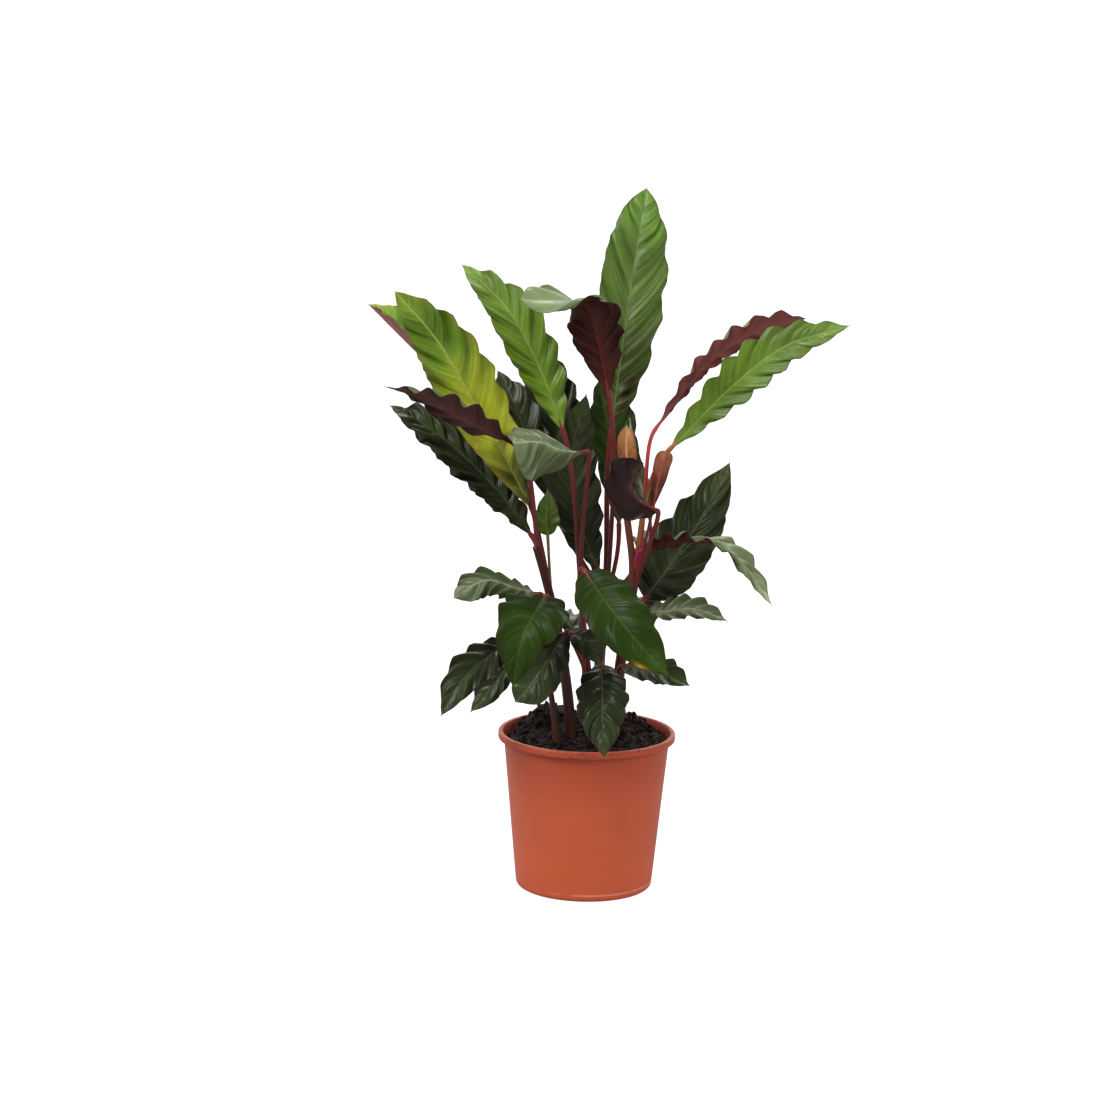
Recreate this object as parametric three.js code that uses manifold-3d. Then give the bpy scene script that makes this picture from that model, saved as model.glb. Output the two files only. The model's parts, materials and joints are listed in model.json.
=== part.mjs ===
// Potted calathea: a plastic nursery pot filled with peat, six shoots of sheathing leaf stalks,
// and lance-shaped leaf blades with waved edges. Millimetres, +Z up.
// The origin is the centre of the pot's underside. The plant's front looks along -Y.
import * as THREE from "three";
import { mergeVertices } from "three/addons/utils/BufferGeometryUtils.js";
import Module from "manifold-3d";

const manifold = await Module();
manifold.setup();

// Driving dimensions: the pot.
const RIM_RADIUS = 85;
const POT_HEIGHT = 152;
const LIP_HEIGHT = 6.7;
const LIP_WIDTH = 4.6;
const LIP_ROUND = 1.1;
const WALL_TOP_RADIUS = 79.5;
const BASE_RADIUS = 65.4;
const BASE_ROUND = 4;
const WALL = 1.8;
const FLOOR = 2.2;
const POT_SIDES = 48;
const STEPS_PER_ROUND = 2;
const HOLE_SIDES = 10;
const DRAIN_COUNT = 8;
const DRAIN_RADIUS = 4.5;
const DRAIN_CIRCLE = 48;

// Driving dimensions: the soil and what stands in it.
const FIT_GAP = 0.35; // between pieces that touch
const SOIL_EDGE_HEIGHT = 142; // where the peat meets the wall
const SOIL_CROWN = 3; // how much higher the level peat is inside that edge
// The peat is heaped round the stalks and behind them, at the back left and the back right.
const SOIL_HEAPS = [
  { at: [-36, 38], high: 20, spread: 21 },
  { at: [44, 44], high: 11, spread: 14 },
  { at: [0, 0], high: 8, spread: 34 },
];
// Small lumps, as waves across the peat: turn is in radians per millimetre along X and Y.
const SOIL_LUMPS = [
  { high: 0.7, turn: [0.21, 0.24], shift: 1.3 },
  { high: 0.7, turn: [0.23, -0.2], shift: 0.4 },
  { high: 0.8, turn: [0.41, -0.37], shift: 0 },
];
const SOIL_SIDES = 40;
const SOIL_RINGS = 7;
const SHEATH_FOOT = 108; // the shoots stand this high above the pot's underside, in the peat
const SHOOT_STEPS = 7;
const SHOOT_SIDES = 8;

// Driving dimensions: the leaves.
const BLADE_THICKNESS = 1.1;
const RIB_DEPTH = 0.9; // how far the midrib stands out under the base of a blade
const STALK_SIDES = 6;
const STALK_STEP = 28;
const STALK_EXTRA_STEPS = 3;
const STALK_RADIUS = 2.2;
const STALK_FOOT_SHARE = 1.3; // a stalk is this much thicker where it leaves its shoot
const SLIM_STALK_RADIUS = 1.4;
const SLIM_BELOW = 14; // blades this narrow have a slim stalk
const STATIONS_PER_WAVE = 4;
const FEWEST_STATIONS = 10;
const WAVE_OFFSET = 0.3; // the two edges' waves are this part of a wave apart
const TIP_HALF_WIDTH = 0.8;
const BASE_HALF_WIDTH = 1.9;
const LANCE_ENDS = [0.85, 0.75]; // the lower, the blunter: the base and the tip of most blades
const DRIP_LENGTH = 5; // the tip of most blades is drawn out over about this length
const SCALLOP = 0.07; // most edges bulge by this share of the half width where their wave is high

const COLOURS = {
  pot: 0xb75c3c,
  soil: 0x2a1d18,
  stalk: 0x6e2026,
  sheath: 0xa85f3c,
  fresh: 0x7f9f1e,
  light: 0x5f8f2c,
  mid: 0x3c6a26,
  dark: 0x2a4420,
  wine: 0x5e2026,
};

// Shoots: the sheathed stalks of several leaves, as one thick stem. at: where it stands in the soil.
// bend and top: the middle control point and the end of its centre line. radius: at the foot and the top.
const SHOOTS = {
  tall_left: { at: [-14, -18], bend: [-15, -19, 222], top: [-52, -36, 338], radius: [6.4, 4] },
  low_left: { at: [-28, -36], bend: [-29, -37, 190], top: [-42, -38, 222], radius: [4.2, 2.6] },
  centre: { at: [2, -5], bend: [1, -6, 190], top: [-7, -9, 262], radius: [5, 4] },
  back: { at: [9, 18], bend: [9, 18, 200], top: [14, 20, 262], radius: [6.2, 4.6] },
  right: { at: [26, -6], bend: [26, -6, 215], top: [41, -9, 292], radius: [6.4, 4.4] },
  front: { at: [5, -33], bend: [5, -33, 180], top: [3, -37, 200], radius: [4.4, 3.4] },
};

// Blades, and the two orange-brown sheaths, which have the same form.
// rib: four points of the midrib from base to tip. half: half the width. look: which way the top
// face looks at the base, in the middle and at the tip. fold: how far the halves are raised, in degrees.
// waves and ruffle: how many waves each edge has, and how high they are. widest: where, along the rib.
// ends: how blunt the base and the tip are, drip: how long the drawn out tip is, and scallop: how far
// the edges bulge, where they aren't those of most blades. stalk: where it leaves the shoot (0 foot,
// 1 top), and how far it runs straight out and straight in.
const BLADES = [
  {
    name: "leaf_crown", shoot: "back", colour: "mid",
    half: 33, waves: 6, ruffle: 3, fold: 9, widest: 0.58, scallop: 0.04,
    rib: [[17, 24, 440], [25, 38, 510], [36, 62, 595], [47, 96, 666]],
    ends: [0.75, 0.6],
    look: [[0.4, -1, 0.15], [0.4, -1, 0.3], [0.3, -1, 0.4]],
    stalk: [0.98, 70, 60], stalkRadius: 2.6,
  },
  {
    name: "leaf_twisted", shoot: "back", colour: "wine",
    half: 27, waves: 6, ruffle: 3, fold: 4, widest: 0.56, scallop: 0.1,
    rib: [[13, -24, 483], [2, -30, 531], [-13, -34, 565], [-70, -52, 572]],
    ends: [0.85, 0.35], drip: 3,
    look: [[0.1, 1, 0.1], [0.25, 1, 0.7], [-0.1, -0.8, 0.6]],
    stalk: [1, 70, 50],
  },
  {
    name: "leaf_left_centre", shoot: "centre", colour: "light",
    half: 23, waves: 7, ruffle: 4.5, fold: 12, widest: 0.5, scallop: 0.11,
    rib: [[-29, -10, 445], [-50, -2, 498], [-84, 14, 556], [-128, 34, 595]],
    look: [[0.2, -0.95, 0.1], [0.2, -0.95, 0.3], [0.2, -0.8, 0.6]],
    stalk: [1, 60, 40],
  },
  {
    name: "leaf_big_left", shoot: "tall_left", colour: "fresh",
    half: 30, waves: 8, ruffle: 4, fold: 10, widest: 0.5, scallop: 0.05,
    rib: [[-57, -36, 375], [-102, -46, 458], [-143, -54, 528], [-186, -58, 578]],
    look: [[0.25, -0.95, 0.25], [0.25, -0.95, 0.3], [0.25, -0.9, 0.4]],
    stalk: [0.97, 14, 14],
  },
  {
    name: "leaf_folded_left", shoot: "tall_left", colour: "fresh",
    half: 26, waves: 7, ruffle: 3, fold: 48, widest: 0.55,
    rib: [[-88, 0, 431], [-146, 14, 491], [-185, 26, 527], [-216, 38, 555]],
    look: [[0.5, -0.35, 0.7], [0.5, -0.4, 0.7], [0.5, -0.4, 0.8]],
    stalk: [0.7, 60, 50],
  },
  {
    name: "leaf_wine_left", shoot: "tall_left", colour: "wine",
    half: 20, waves: 6, ruffle: 3.5, fold: 12, widest: 0.35, scallop: 0.12,
    rib: [[-74, -54, 438], [-114, -82, 460], [-154, -98, 483], [-191, -112, 497]],
    ends: [1.4, 0.75],
    look: [[0.3, 0.8, 0.6], [0.3, 0.75, 0.65], [0.3, 0.2, 0.9]],
    stalk: [0.95, 26, 28],
  },
  {
    name: "leaf_dark_left", shoot: "tall_left", colour: "dark",
    half: 25, waves: 8, ruffle: 6.5, fold: 10, widest: 0.45, scallop: 0.12,
    rib: [[-57, -24, 347], [-97, -16, 395], [-147, -6, 438], [-193, 6, 463]],
    look: [[0.35, -0.7, 0.6], [0.35, -0.7, 0.6], [0.3, -0.6, 0.75]],
    stalk: [0.85, 16, 12],
  },
  {
    name: "leaf_small_forward", shoot: "centre", colour: "mid",
    half: 38, waves: 4, ruffle: 2.5, fold: -38, widest: 0.72,
    rib: [[-5, -44, 430], [-28, -65, 434], [-50, -82, 444], [-74, -95, 445]],
    ends: [1.9, 0.4], drip: 2,
    look: [[0.1, -0.7, 0.6], [0.05, -0.7, 0.6], [-0.1, -0.7, 0.6]],
    stalk: [0.95, 90, 8],
  },
  {
    name: "leaf_inner_left", shoot: "back", colour: "dark",
    half: 20, waves: 5, ruffle: 3.5, fold: 12, widest: 0.5, scallop: 0.1,
    rib: [[-40, 32, 371], [-58, 42, 417], [-76, 56, 458], [-93, 72, 490]],
    look: [[0.3, -0.9, 0.2], [0.3, -0.9, 0.3], [0.3, -0.8, 0.4]],
    stalk: [0.9, 50, 60],
  },
  {
    name: "leaf_inner_front", shoot: "back", colour: "dark",
    half: 24, waves: 6, ruffle: 3, fold: 10, widest: 0.5, scallop: 0.1,
    rib: [[8, 7, 308], [-11, 9, 356], [-19, 16, 417], [-7, 32, 474]],
    look: [[0.1, -1, 0.1], [0, -1, 0.15], [0, -1, 0.2]],
    stalk: [0.95, 20, 20],
  },
  {
    name: "leaf_inner_back", shoot: "back", colour: "dark",
    half: 27, waves: 6, ruffle: 3.5, fold: 12, widest: 0.5,
    rib: [[-25, 56, 386], [-31, 68, 423], [-43, 84, 470], [-49, 104, 511]],
    look: [[0.1, -1, 0.1], [0.1, -1, 0.2], [0.1, -1, 0.3]],
    stalk: [0.9, 60, 70],
  },
  {
    name: "leaf_inner_right", shoot: "back", colour: "mid",
    half: 22, waves: 5, ruffle: 3, fold: 10, widest: 0.5,
    rib: [[27, 40, 347], [24, 48, 405], [17, 60, 455], [10, 76, 491]],
    look: [[0, -1, 0.1], [0, -1, 0.15], [0, -1, 0.3]],
    stalk: [0.9, 40, 40],
  },
  {
    name: "leaf_young_light", shoot: "tall_left", colour: "light",
    half: 12, waves: 3, ruffle: 1.5, fold: 12, widest: 0.35,
    rib: [[-41, -25, 347], [-42, -26, 362], [-42, -27, 376], [-42, -26, 391]],
    ends: [0.5, 0.8],
    look: [[0, -1, 0.2], [0, -1, 0.2], [0, -1, 0.2]],
    stalk: [0.72, 10, 30],
  },
  {
    name: "leaf_cupped", shoot: "right", colour: "wine",
    half: 25, waves: 4, ruffle: 3, fold: 44, widest: 0.55,
    rib: [[61, -46, 376], [39, -48, 389], [39, -44, 408], [47, -40, 420]],
    ends: [0.5, 0.5], drip: 2,
    look: [[-0.1, 0.7, -0.7], [-0.7, 0.7, -0.1], [-0.7, 0.7, 0.3]],
    stalk: [1, 14, 6],
  },
  {
    name: "leaf_young_right", shoot: "right", colour: "mid",
    half: 9, waves: 3, ruffle: 1.5, fold: 10, widest: 0.3,
    rib: [[54, -6, 366], [47, -4, 391], [39, 0, 419], [34, 4, 456]],
    ends: [0.6, 1],
    look: [[-0.2, -1, 0.1], [-0.2, -1, 0.1], [-0.2, -1, 0.1]],
    stalk: [1, 30, 30],
  },
  {
    name: "leaf_wine_right", shoot: "right", colour: "wine",
    half: 15, waves: 8, ruffle: 3, fold: 10, widest: 0.8, scallop: 0.16,
    rib: [[58, -8, 447], [98, 10, 499], [142, 30, 531], [201, 52, 548]],
    look: [[-0.5, 0.8, 0.3], [-0.4, 0.8, 0.5], [-0.4, 0.8, 0.5]],
    stalk: [1, 80, 22], stalkRadius: 1.9,
  },
  {
    name: "leaf_light_right", shoot: "right", colour: "light",
    half: 21, waves: 8, ruffle: 2.2, fold: 10, widest: 0.5, scallop: 0.18,
    rib: [[73, -22, 432], [124, -38, 490], [173, -48, 532], [233, -54, 554]],
    look: [[-0.2, -0.9, 0.35], [-0.2, -0.9, 0.4], [-0.1, -0.8, 0.6]],
    stalk: [1, 40, 50],
  },
  {
    name: "leaf_dark_right", shoot: "right", colour: "dark",
    half: 31, waves: 6, ruffle: 4, fold: 8, widest: 0.42,
    rib: [[53, 12, 281], [72, 20, 305], [105, 42, 352], [134, 72, 405]],
    ends: [0.6, 0.75],
    look: [[-0.3, -0.9, 0.3], [-0.3, -0.9, 0.3], [-0.3, -0.85, 0.4]],
    stalk: [0.7, 16, 16],
  },
  {
    name: "leaf_arching_right", shoot: "right", colour: "light",
    half: 17, waves: 7, ruffle: 3.5, fold: 12, widest: 0.5, scallop: 0.12,
    rib: [[50, -16, 333], [83, -38, 345], [129, -60, 342], [169, -78, 294]],
    look: [[-0.1, 0.9, 0.5], [0, 0.2, 1], [0.5, -0.8, 0.4]],
    stalk: [1, 20, 14],
  },
  {
    name: "leaf_small_right", shoot: "right", colour: "mid",
    half: 14, waves: 6, ruffle: 3.5, fold: 10, widest: 0.5, scallop: 0.14,
    rib: [[48, -14, 273], [71, -26, 276], [99, -38, 281], [130, -50, 273]],
    look: [[0, -0.6, 0.8], [0, -0.6, 0.8], [0, -0.6, 0.8]],
    stalk: [0.75, 8, 8],
  },
  {
    name: "leaf_waved_left", shoot: "tall_left", colour: "mid",
    half: 15, waves: 6, ruffle: 5, fold: -22, widest: 0.75, scallop: 0.14,
    rib: [[-47, -48, 295], [-70, -60, 303], [-98, -72, 312], [-127, -84, 297]],
    ends: [0.8, 0.4],
    look: [[0.1, -0.6, 0.8], [0.1, -0.6, 0.8], [0.1, -0.95, 0.3]],
    stalk: [0.62, 12, 8],
  },
  {
    name: "leaf_front_left", shoot: "tall_left", colour: "mid",
    half: 31, waves: 4, ruffle: 3, fold: 8, widest: 0.35,
    rib: [[-42, -68, 297], [-51, -98, 288], [-63, -116, 266], [-70, -120, 221]],
    ends: [0.55, 0.8],
    look: [[0, -0.4, 1], [0.1, -0.7, 0.7], [0.1, -0.95, 0.2]],
    stalk: [0.6, 16, 12],
  },
  {
    name: "leaf_low_left", shoot: "low_left", colour: "dark",
    half: 19, waves: 5, ruffle: 3.5, fold: 8, widest: 0.5,
    rib: [[-73, -36, 248], [-93, -56, 237], [-118, -74, 217], [-137, -88, 185]],
    look: [[-0.1, -0.8, 0.6], [-0.2, -0.85, 0.5], [-0.2, -0.9, 0.4]],
    stalk: [1, 10, 10],
  },
  {
    name: "leaf_low_left_back", shoot: "low_left", colour: "dark",
    half: 15, waves: 4, ruffle: 2.5, fold: 10, widest: 0.5,
    rib: [[-70, -8, 227], [-81, -12, 211], [-95, -14, 192], [-112, -14, 171]],
    look: [[-0.1, -0.7, 0.7], [-0.2, -0.7, 0.6], [-0.2, -0.8, 0.5]],
    stalk: [0.97, 10, 14],
  },
  {
    name: "leaf_low_left_front", shoot: "tall_left", colour: "mid",
    half: 23, waves: 4, ruffle: 3, fold: 8, widest: 0.6,
    rib: [[-22, -54, 260], [-36, -72, 242], [-52, -84, 219], [-68, -88, 200]],
    ends: [0.7, 0.5],
    look: [[-0.1, -0.8, 0.6], [-0.1, -0.85, 0.5], [-0.1, -0.9, 0.4]],
    stalk: [0.42, 16, 10],
  },
  {
    name: "leaf_big_front", shoot: "front", colour: "mid",
    half: 28, waves: 4, ruffle: 2.5, fold: 10, widest: 0.42, scallop: 0.04,
    rib: [[-5, -70, 321], [15, -100, 298], [41, -122, 270], [72, -134, 239]],
    ends: [0.45, 0.75],
    look: [[-0.15, -0.65, 0.75], [-0.15, -0.75, 0.65], [0, -0.9, 0.4]],
    stalk: [1, 60, 30],
  },
  {
    name: "leaf_over_rim", shoot: "front", colour: "dark",
    half: 24, waves: 5, ruffle: 2.5, fold: 10, widest: 0.45,
    rib: [[12, -50, 229], [13, -78, 211], [13, -95, 187], [16, -105, 152]],
    ends: [0.6, 0.8],
    look: [[0, -0.5, 0.85], [0, -0.8, 0.6], [0, -1, 0.2]],
    stalk: [1, 12, 12],
  },
  {
    name: "leaf_low_right", shoot: "right", colour: "dark",
    half: 18, waves: 5, ruffle: 3, fold: 10, widest: 0.5, scallop: 0.12,
    rib: [[32, -22, 221], [49, -40, 224], [72, -58, 222], [95, -72, 215]],
    look: [[0.1, -0.6, 0.75], [0.1, -0.6, 0.75], [0.1, -0.6, 0.7]],
    stalk: [0.42, 8, 8],
  },
  {
    name: "leaf_inner_low", shoot: "front", colour: "dark",
    half: 17, waves: 3, ruffle: 2.5, fold: 10, widest: 0.5,
    rib: [[-17, -60, 260], [-7, -70, 259], [2, -76, 251], [12, -80, 234]],
    look: [[0.1, -0.5, 0.85], [0.1, -0.6, 0.8], [0.1, -0.8, 0.6]],
    stalk: [0.95, 26, 8],
  },
  {
    name: "leaf_back_low_left", shoot: "back", colour: "dark",
    half: 24, waves: 5, ruffle: 3.5, fold: 8, widest: 0.5,
    rib: [[-9, 46, 230], [-24, 70, 246], [-42, 94, 244], [-60, 112, 222]],
    look: [[-0.2, 0.5, 0.8], [-0.2, 0.5, 0.8], [-0.3, 0.8, 0.5]],
    stalk: [0.6, 14, 14],
  },
  {
    name: "leaf_back_low_right", shoot: "back", colour: "dark",
    half: 26, waves: 5, ruffle: 3.5, fold: 8, widest: 0.45,
    rib: [[24, 46, 244], [36, 68, 262], [50, 96, 256], [62, 122, 224]],
    look: [[0.2, 0.5, 0.8], [0.2, 0.6, 0.8], [0.3, 0.9, 0.4]],
    stalk: [0.7, 14, 14],
  },
  {
    name: "leaf_back_right", shoot: "back", colour: "dark",
    half: 21, waves: 6, ruffle: 3.5, fold: 10, widest: 0.5,
    rib: [[42, 46, 300], [58, 70, 324], [78, 98, 330], [98, 128, 312]],
    look: [[0.2, 0.5, 0.8], [0.2, 0.6, 0.8], [0.3, 0.8, 0.6]],
    stalk: [0.92, 30, 18],
  },
  {
    name: "sheath_centre", shoot: "right", colour: "sheath",
    half: 10, waves: 1, ruffle: 0, fold: 24, widest: 0.5,
    rib: [[32, -10, 391], [32, -12, 415], [31, -12, 432], [31, -12, 451]],
    ends: [0.3, 0.4], drip: 3,
    look: [[0, 1, 0], [0, 1, 0], [0, 1, 0]],
    stalk: [0.9, 50, 50], stalkRadius: 3.4,
  },
  {
    name: "sheath_right", shoot: "right", colour: "sheath",
    half: 9, waves: 1, ruffle: 0, fold: 24, widest: 0.8,
    rib: [[57, -30, 376], [60, -32, 395], [64, -33, 413], [69, -34, 431]],
    ends: [0.8, 0.32], drip: 1,
    look: [[0, 1, 0], [0, 1, 0], [0, 1, 0]],
    stalk: [1, 24, 30],
  },
];

// ---- geometry ----

const vector = (p) => new THREE.Vector3(...p);
const mix = THREE.MathUtils.lerp;

function solidOf(geometry) {
  const plain = geometry.clone();
  plain.deleteAttribute("normal");
  plain.deleteAttribute("uv");
  const merged = mergeVertices(plain, 1e-4);
  const mesh = new manifold.Mesh({
    numProp: 3,
    vertProperties: new Float32Array(merged.attributes.position.array),
    triVerts: new Uint32Array(merged.index.array),
  });
  return new manifold.Manifold(mesh);
}

function geometryOf(solid) {
  const mesh = solid.getMesh();
  const geometry = new THREE.BufferGeometry();
  geometry.setAttribute("position", new THREE.BufferAttribute(new Float32Array(mesh.vertProperties), 3));
  geometry.setIndex(new THREE.BufferAttribute(new Uint32Array(mesh.triVerts), 1));
  geometry.computeVertexNormals();
  return geometry;
}

function meshFrom(points, faces) {
  const geometry = new THREE.BufferGeometry();
  geometry.setAttribute("position", new THREE.Float32BufferAttribute(points.flatMap((p) => p.toArray()), 3));
  geometry.setIndex(faces.flat());
  geometry.computeVertexNormals();
  return geometry;
}

function upright(radiusLow, radiusHigh, low, high, x, y, sides) {
  const geometry = new THREE.CylinderGeometry(radiusHigh, radiusLow, high - low, sides);
  geometry.rotateX(Math.PI / 2);
  geometry.translate(x, y, (low + high) / 2);
  return solidOf(geometry);
}

// ---- pot ----

function wallRadius(height) {
  return mix(BASE_RADIUS, WALL_TOP_RADIUS, height / (POT_HEIGHT - LIP_HEIGHT));
}

function pot() {
  const lipFoot = POT_HEIGHT - LIP_HEIGHT;
  const outline = new THREE.Path();
  outline.moveTo(0, 0);
  outline.lineTo(BASE_RADIUS - BASE_ROUND, 0);
  outline.quadraticCurveTo(BASE_RADIUS, 0, wallRadius(BASE_ROUND), BASE_ROUND);
  outline.lineTo(WALL_TOP_RADIUS, lipFoot);
  outline.lineTo(RIM_RADIUS - LIP_ROUND, lipFoot);
  outline.quadraticCurveTo(RIM_RADIUS, lipFoot, RIM_RADIUS, lipFoot + LIP_ROUND);
  outline.lineTo(RIM_RADIUS, POT_HEIGHT - LIP_ROUND);
  outline.quadraticCurveTo(RIM_RADIUS, POT_HEIGHT, RIM_RADIUS - LIP_ROUND, POT_HEIGHT);
  outline.lineTo(RIM_RADIUS - LIP_WIDTH, POT_HEIGHT);
  outline.lineTo(WALL_TOP_RADIUS - WALL, lipFoot);
  outline.lineTo(wallRadius(FLOOR) - WALL, FLOOR);
  outline.lineTo(0, FLOOR);
  const profile = outline.getPoints(STEPS_PER_ROUND);
  const body = new THREE.LatheGeometry(profile, POT_SIDES);
  body.rotateX(Math.PI / 2);
  let solid = solidOf(body);
  for (let i = 0; i < DRAIN_COUNT; i++) {
    const angle = ((i + 0.5) / DRAIN_COUNT) * 2 * Math.PI;
    const x = DRAIN_CIRCLE * Math.cos(angle);
    const y = DRAIN_CIRCLE * Math.sin(angle);
    solid = solid.subtract(upright(DRAIN_RADIUS, DRAIN_RADIUS, -1, FLOOR + 1, x, y, HOLE_SIDES));
  }
  return geometryOf(solid);
}

// ---- soil ----

function soilHeight(x, y) {
  let height = SOIL_EDGE_HEIGHT + SOIL_CROWN;
  for (const { at, high, spread } of SOIL_HEAPS) {
    height += high * Math.exp(-((x - at[0]) ** 2 + (y - at[1]) ** 2) / (2 * spread * spread));
  }
  for (const { high, turn, shift } of SOIL_LUMPS) {
    height += high * Math.sin(turn[0] * x + turn[1] * y + shift);
  }
  return height;
}

function soil() {
  const sideLow = wallRadius(FLOOR) - WALL - FIT_GAP;
  const sideHigh = wallRadius(SOIL_EDGE_HEIGHT) - WALL - FIT_GAP;
  const points = [new THREE.Vector3(0, 0, soilHeight(0, 0))];
  const faces = [];
  const ringPoint = (ring, k) => 1 + (ring - 1) * SOIL_SIDES + (k % SOIL_SIDES);
  for (let ring = 1; ring <= SOIL_RINGS; ring++) {
    for (let k = 0; k < SOIL_SIDES; k++) {
      const angle = (k / SOIL_SIDES) * 2 * Math.PI;
      const radius = (sideHigh * ring) / SOIL_RINGS;
      const x = radius * Math.cos(angle);
      const y = radius * Math.sin(angle);
      const height = ring === SOIL_RINGS ? SOIL_EDGE_HEIGHT : soilHeight(x, y);
      points.push(new THREE.Vector3(x, y, height));
    }
  }
  for (let k = 0; k < SOIL_SIDES; k++) {
    const angle = (k / SOIL_SIDES) * 2 * Math.PI;
    points.push(new THREE.Vector3(sideLow * Math.cos(angle), sideLow * Math.sin(angle), FLOOR + FIT_GAP));
  }
  const bottom = points.push(new THREE.Vector3(0, 0, FLOOR + FIT_GAP)) - 1;
  for (let k = 0; k < SOIL_SIDES; k++) {
    faces.push([0, ringPoint(1, k), ringPoint(1, k + 1)]);
    for (let ring = 1; ring <= SOIL_RINGS; ring++) {
      const [a, b] = [ringPoint(ring, k), ringPoint(ring, k + 1)];
      const [c, d] = [ringPoint(ring + 1, k), ringPoint(ring + 1, k + 1)];
      faces.push([a, c, d], [a, d, b]);
    }
    faces.push([bottom, ringPoint(SOIL_RINGS + 1, k + 1), ringPoint(SOIL_RINGS + 1, k)]);
  }
  let solid = solidOf(meshFrom(points, faces));
  for (const shoot of Object.values(SHOOTS)) {
    solid = solid.subtract(shootBar(shoot, FIT_GAP));
  }
  return geometryOf(solid);
}

// ---- stalks ----

// A closed round bar along a curve, thinner towards its end. It can start a little before the curve does.
function taperedBar(curve, startRadius, endRadius, steps, sides, early = 0) {
  const frames = curve.computeFrenetFrames(steps, false);
  const points = [];
  const faces = [];
  for (let i = 0; i <= steps; i++) {
    const centre = curve.getPointAt(i / steps);
    if (i === 0) centre.addScaledVector(frames.tangents[0], -early);
    const radius = mix(startRadius, endRadius, i / steps);
    for (let k = 0; k < sides; k++) {
      const angle = (k / sides) * 2 * Math.PI;
      const out = centre.clone();
      out.addScaledVector(frames.normals[i], radius * Math.cos(angle));
      out.addScaledVector(frames.binormals[i], radius * Math.sin(angle));
      points.push(out);
    }
  }
  const first = points.push(curve.getPointAt(0).addScaledVector(frames.tangents[0], -early)) - 1;
  const last = points.push(curve.getPointAt(1)) - 1;
  for (let k = 0; k < sides; k++) {
    const next = (k + 1) % sides;
    for (let i = 0; i < steps; i++) {
      const [a, b] = [i * sides + k, i * sides + next];
      faces.push([a, b, b + sides], [a, b + sides, a + sides]);
    }
    faces.push([first, next, k], [last, steps * sides + k, steps * sides + next]);
  }
  return solidOf(meshFrom(points, faces));
}

function shootLine({ at, bend, top }) {
  return new THREE.QuadraticBezierCurve3(new THREE.Vector3(...at, SHEATH_FOOT), vector(bend), vector(top));
}

// The thick stem of a shoot, or the hole for it in the peat, which is wider and starts lower by the gap.
function shootBar(shoot, gap = 0) {
  const [foot, top] = shoot.radius;
  return taperedBar(shootLine(shoot), foot + gap, top + gap, SHOOT_STEPS, SHOOT_SIDES, gap);
}

function stalkCurve(blade) {
  const line = shootLine(SHOOTS[blade.shoot]);
  const [leave, outRun, inRun] = blade.stalk;
  const foot = line.getPoint(leave);
  const tip = vector(blade.rib[0]);
  const firstHandle = foot.clone().addScaledVector(line.getTangent(leave), outRun);
  const lastHandle = tip.clone().addScaledVector(ribCurve(blade).getTangent(0), -inRun);
  return new THREE.CubicBezierCurve3(foot, firstHandle, lastHandle, tip);
}

function shootOf(name) {
  let solid = shootBar(SHOOTS[name]);
  for (const blade of BLADES.filter((b) => b.shoot === name)) {
    const radius = blade.stalkRadius ?? (blade.half > SLIM_BELOW ? STALK_RADIUS : SLIM_STALK_RADIUS);
    const curve = stalkCurve(blade);
    const steps = Math.round(curve.getLength() / STALK_STEP) + STALK_EXTRA_STEPS;
    solid = solid.add(taperedBar(curve, radius * STALK_FOOT_SHARE, radius, steps, STALK_SIDES));
  }
  return geometryOf(solid);
}

// ---- blades ----

// The midrib: an even curve through its four points, and its direction.
function ribCurve(blade) {
  return new THREE.CatmullRomCurve3(blade.rib.map(vector), false, "catmullrom", 0.5);
}

// How wide a lance-shaped blade is, from 0 to 1: round towards the base, drawn out towards the tip.
function widthShare(t, widest, [baseBlunt, tipBlunt] = LANCE_ENDS) {
  if (t < widest) return Math.sin((Math.PI / 2) * (t / widest)) ** baseBlunt;
  return Math.cos((Math.PI / 2) * ((t - widest) / (1 - widest))) ** tipBlunt;
}

function blend3(vectors, t) {
  const [first, middle, last] = vectors.map((v) => vector(v).normalize());
  return t < 0.5 ? first.lerp(middle, 2 * t) : middle.lerp(last, 2 * t - 1);
}

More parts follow.
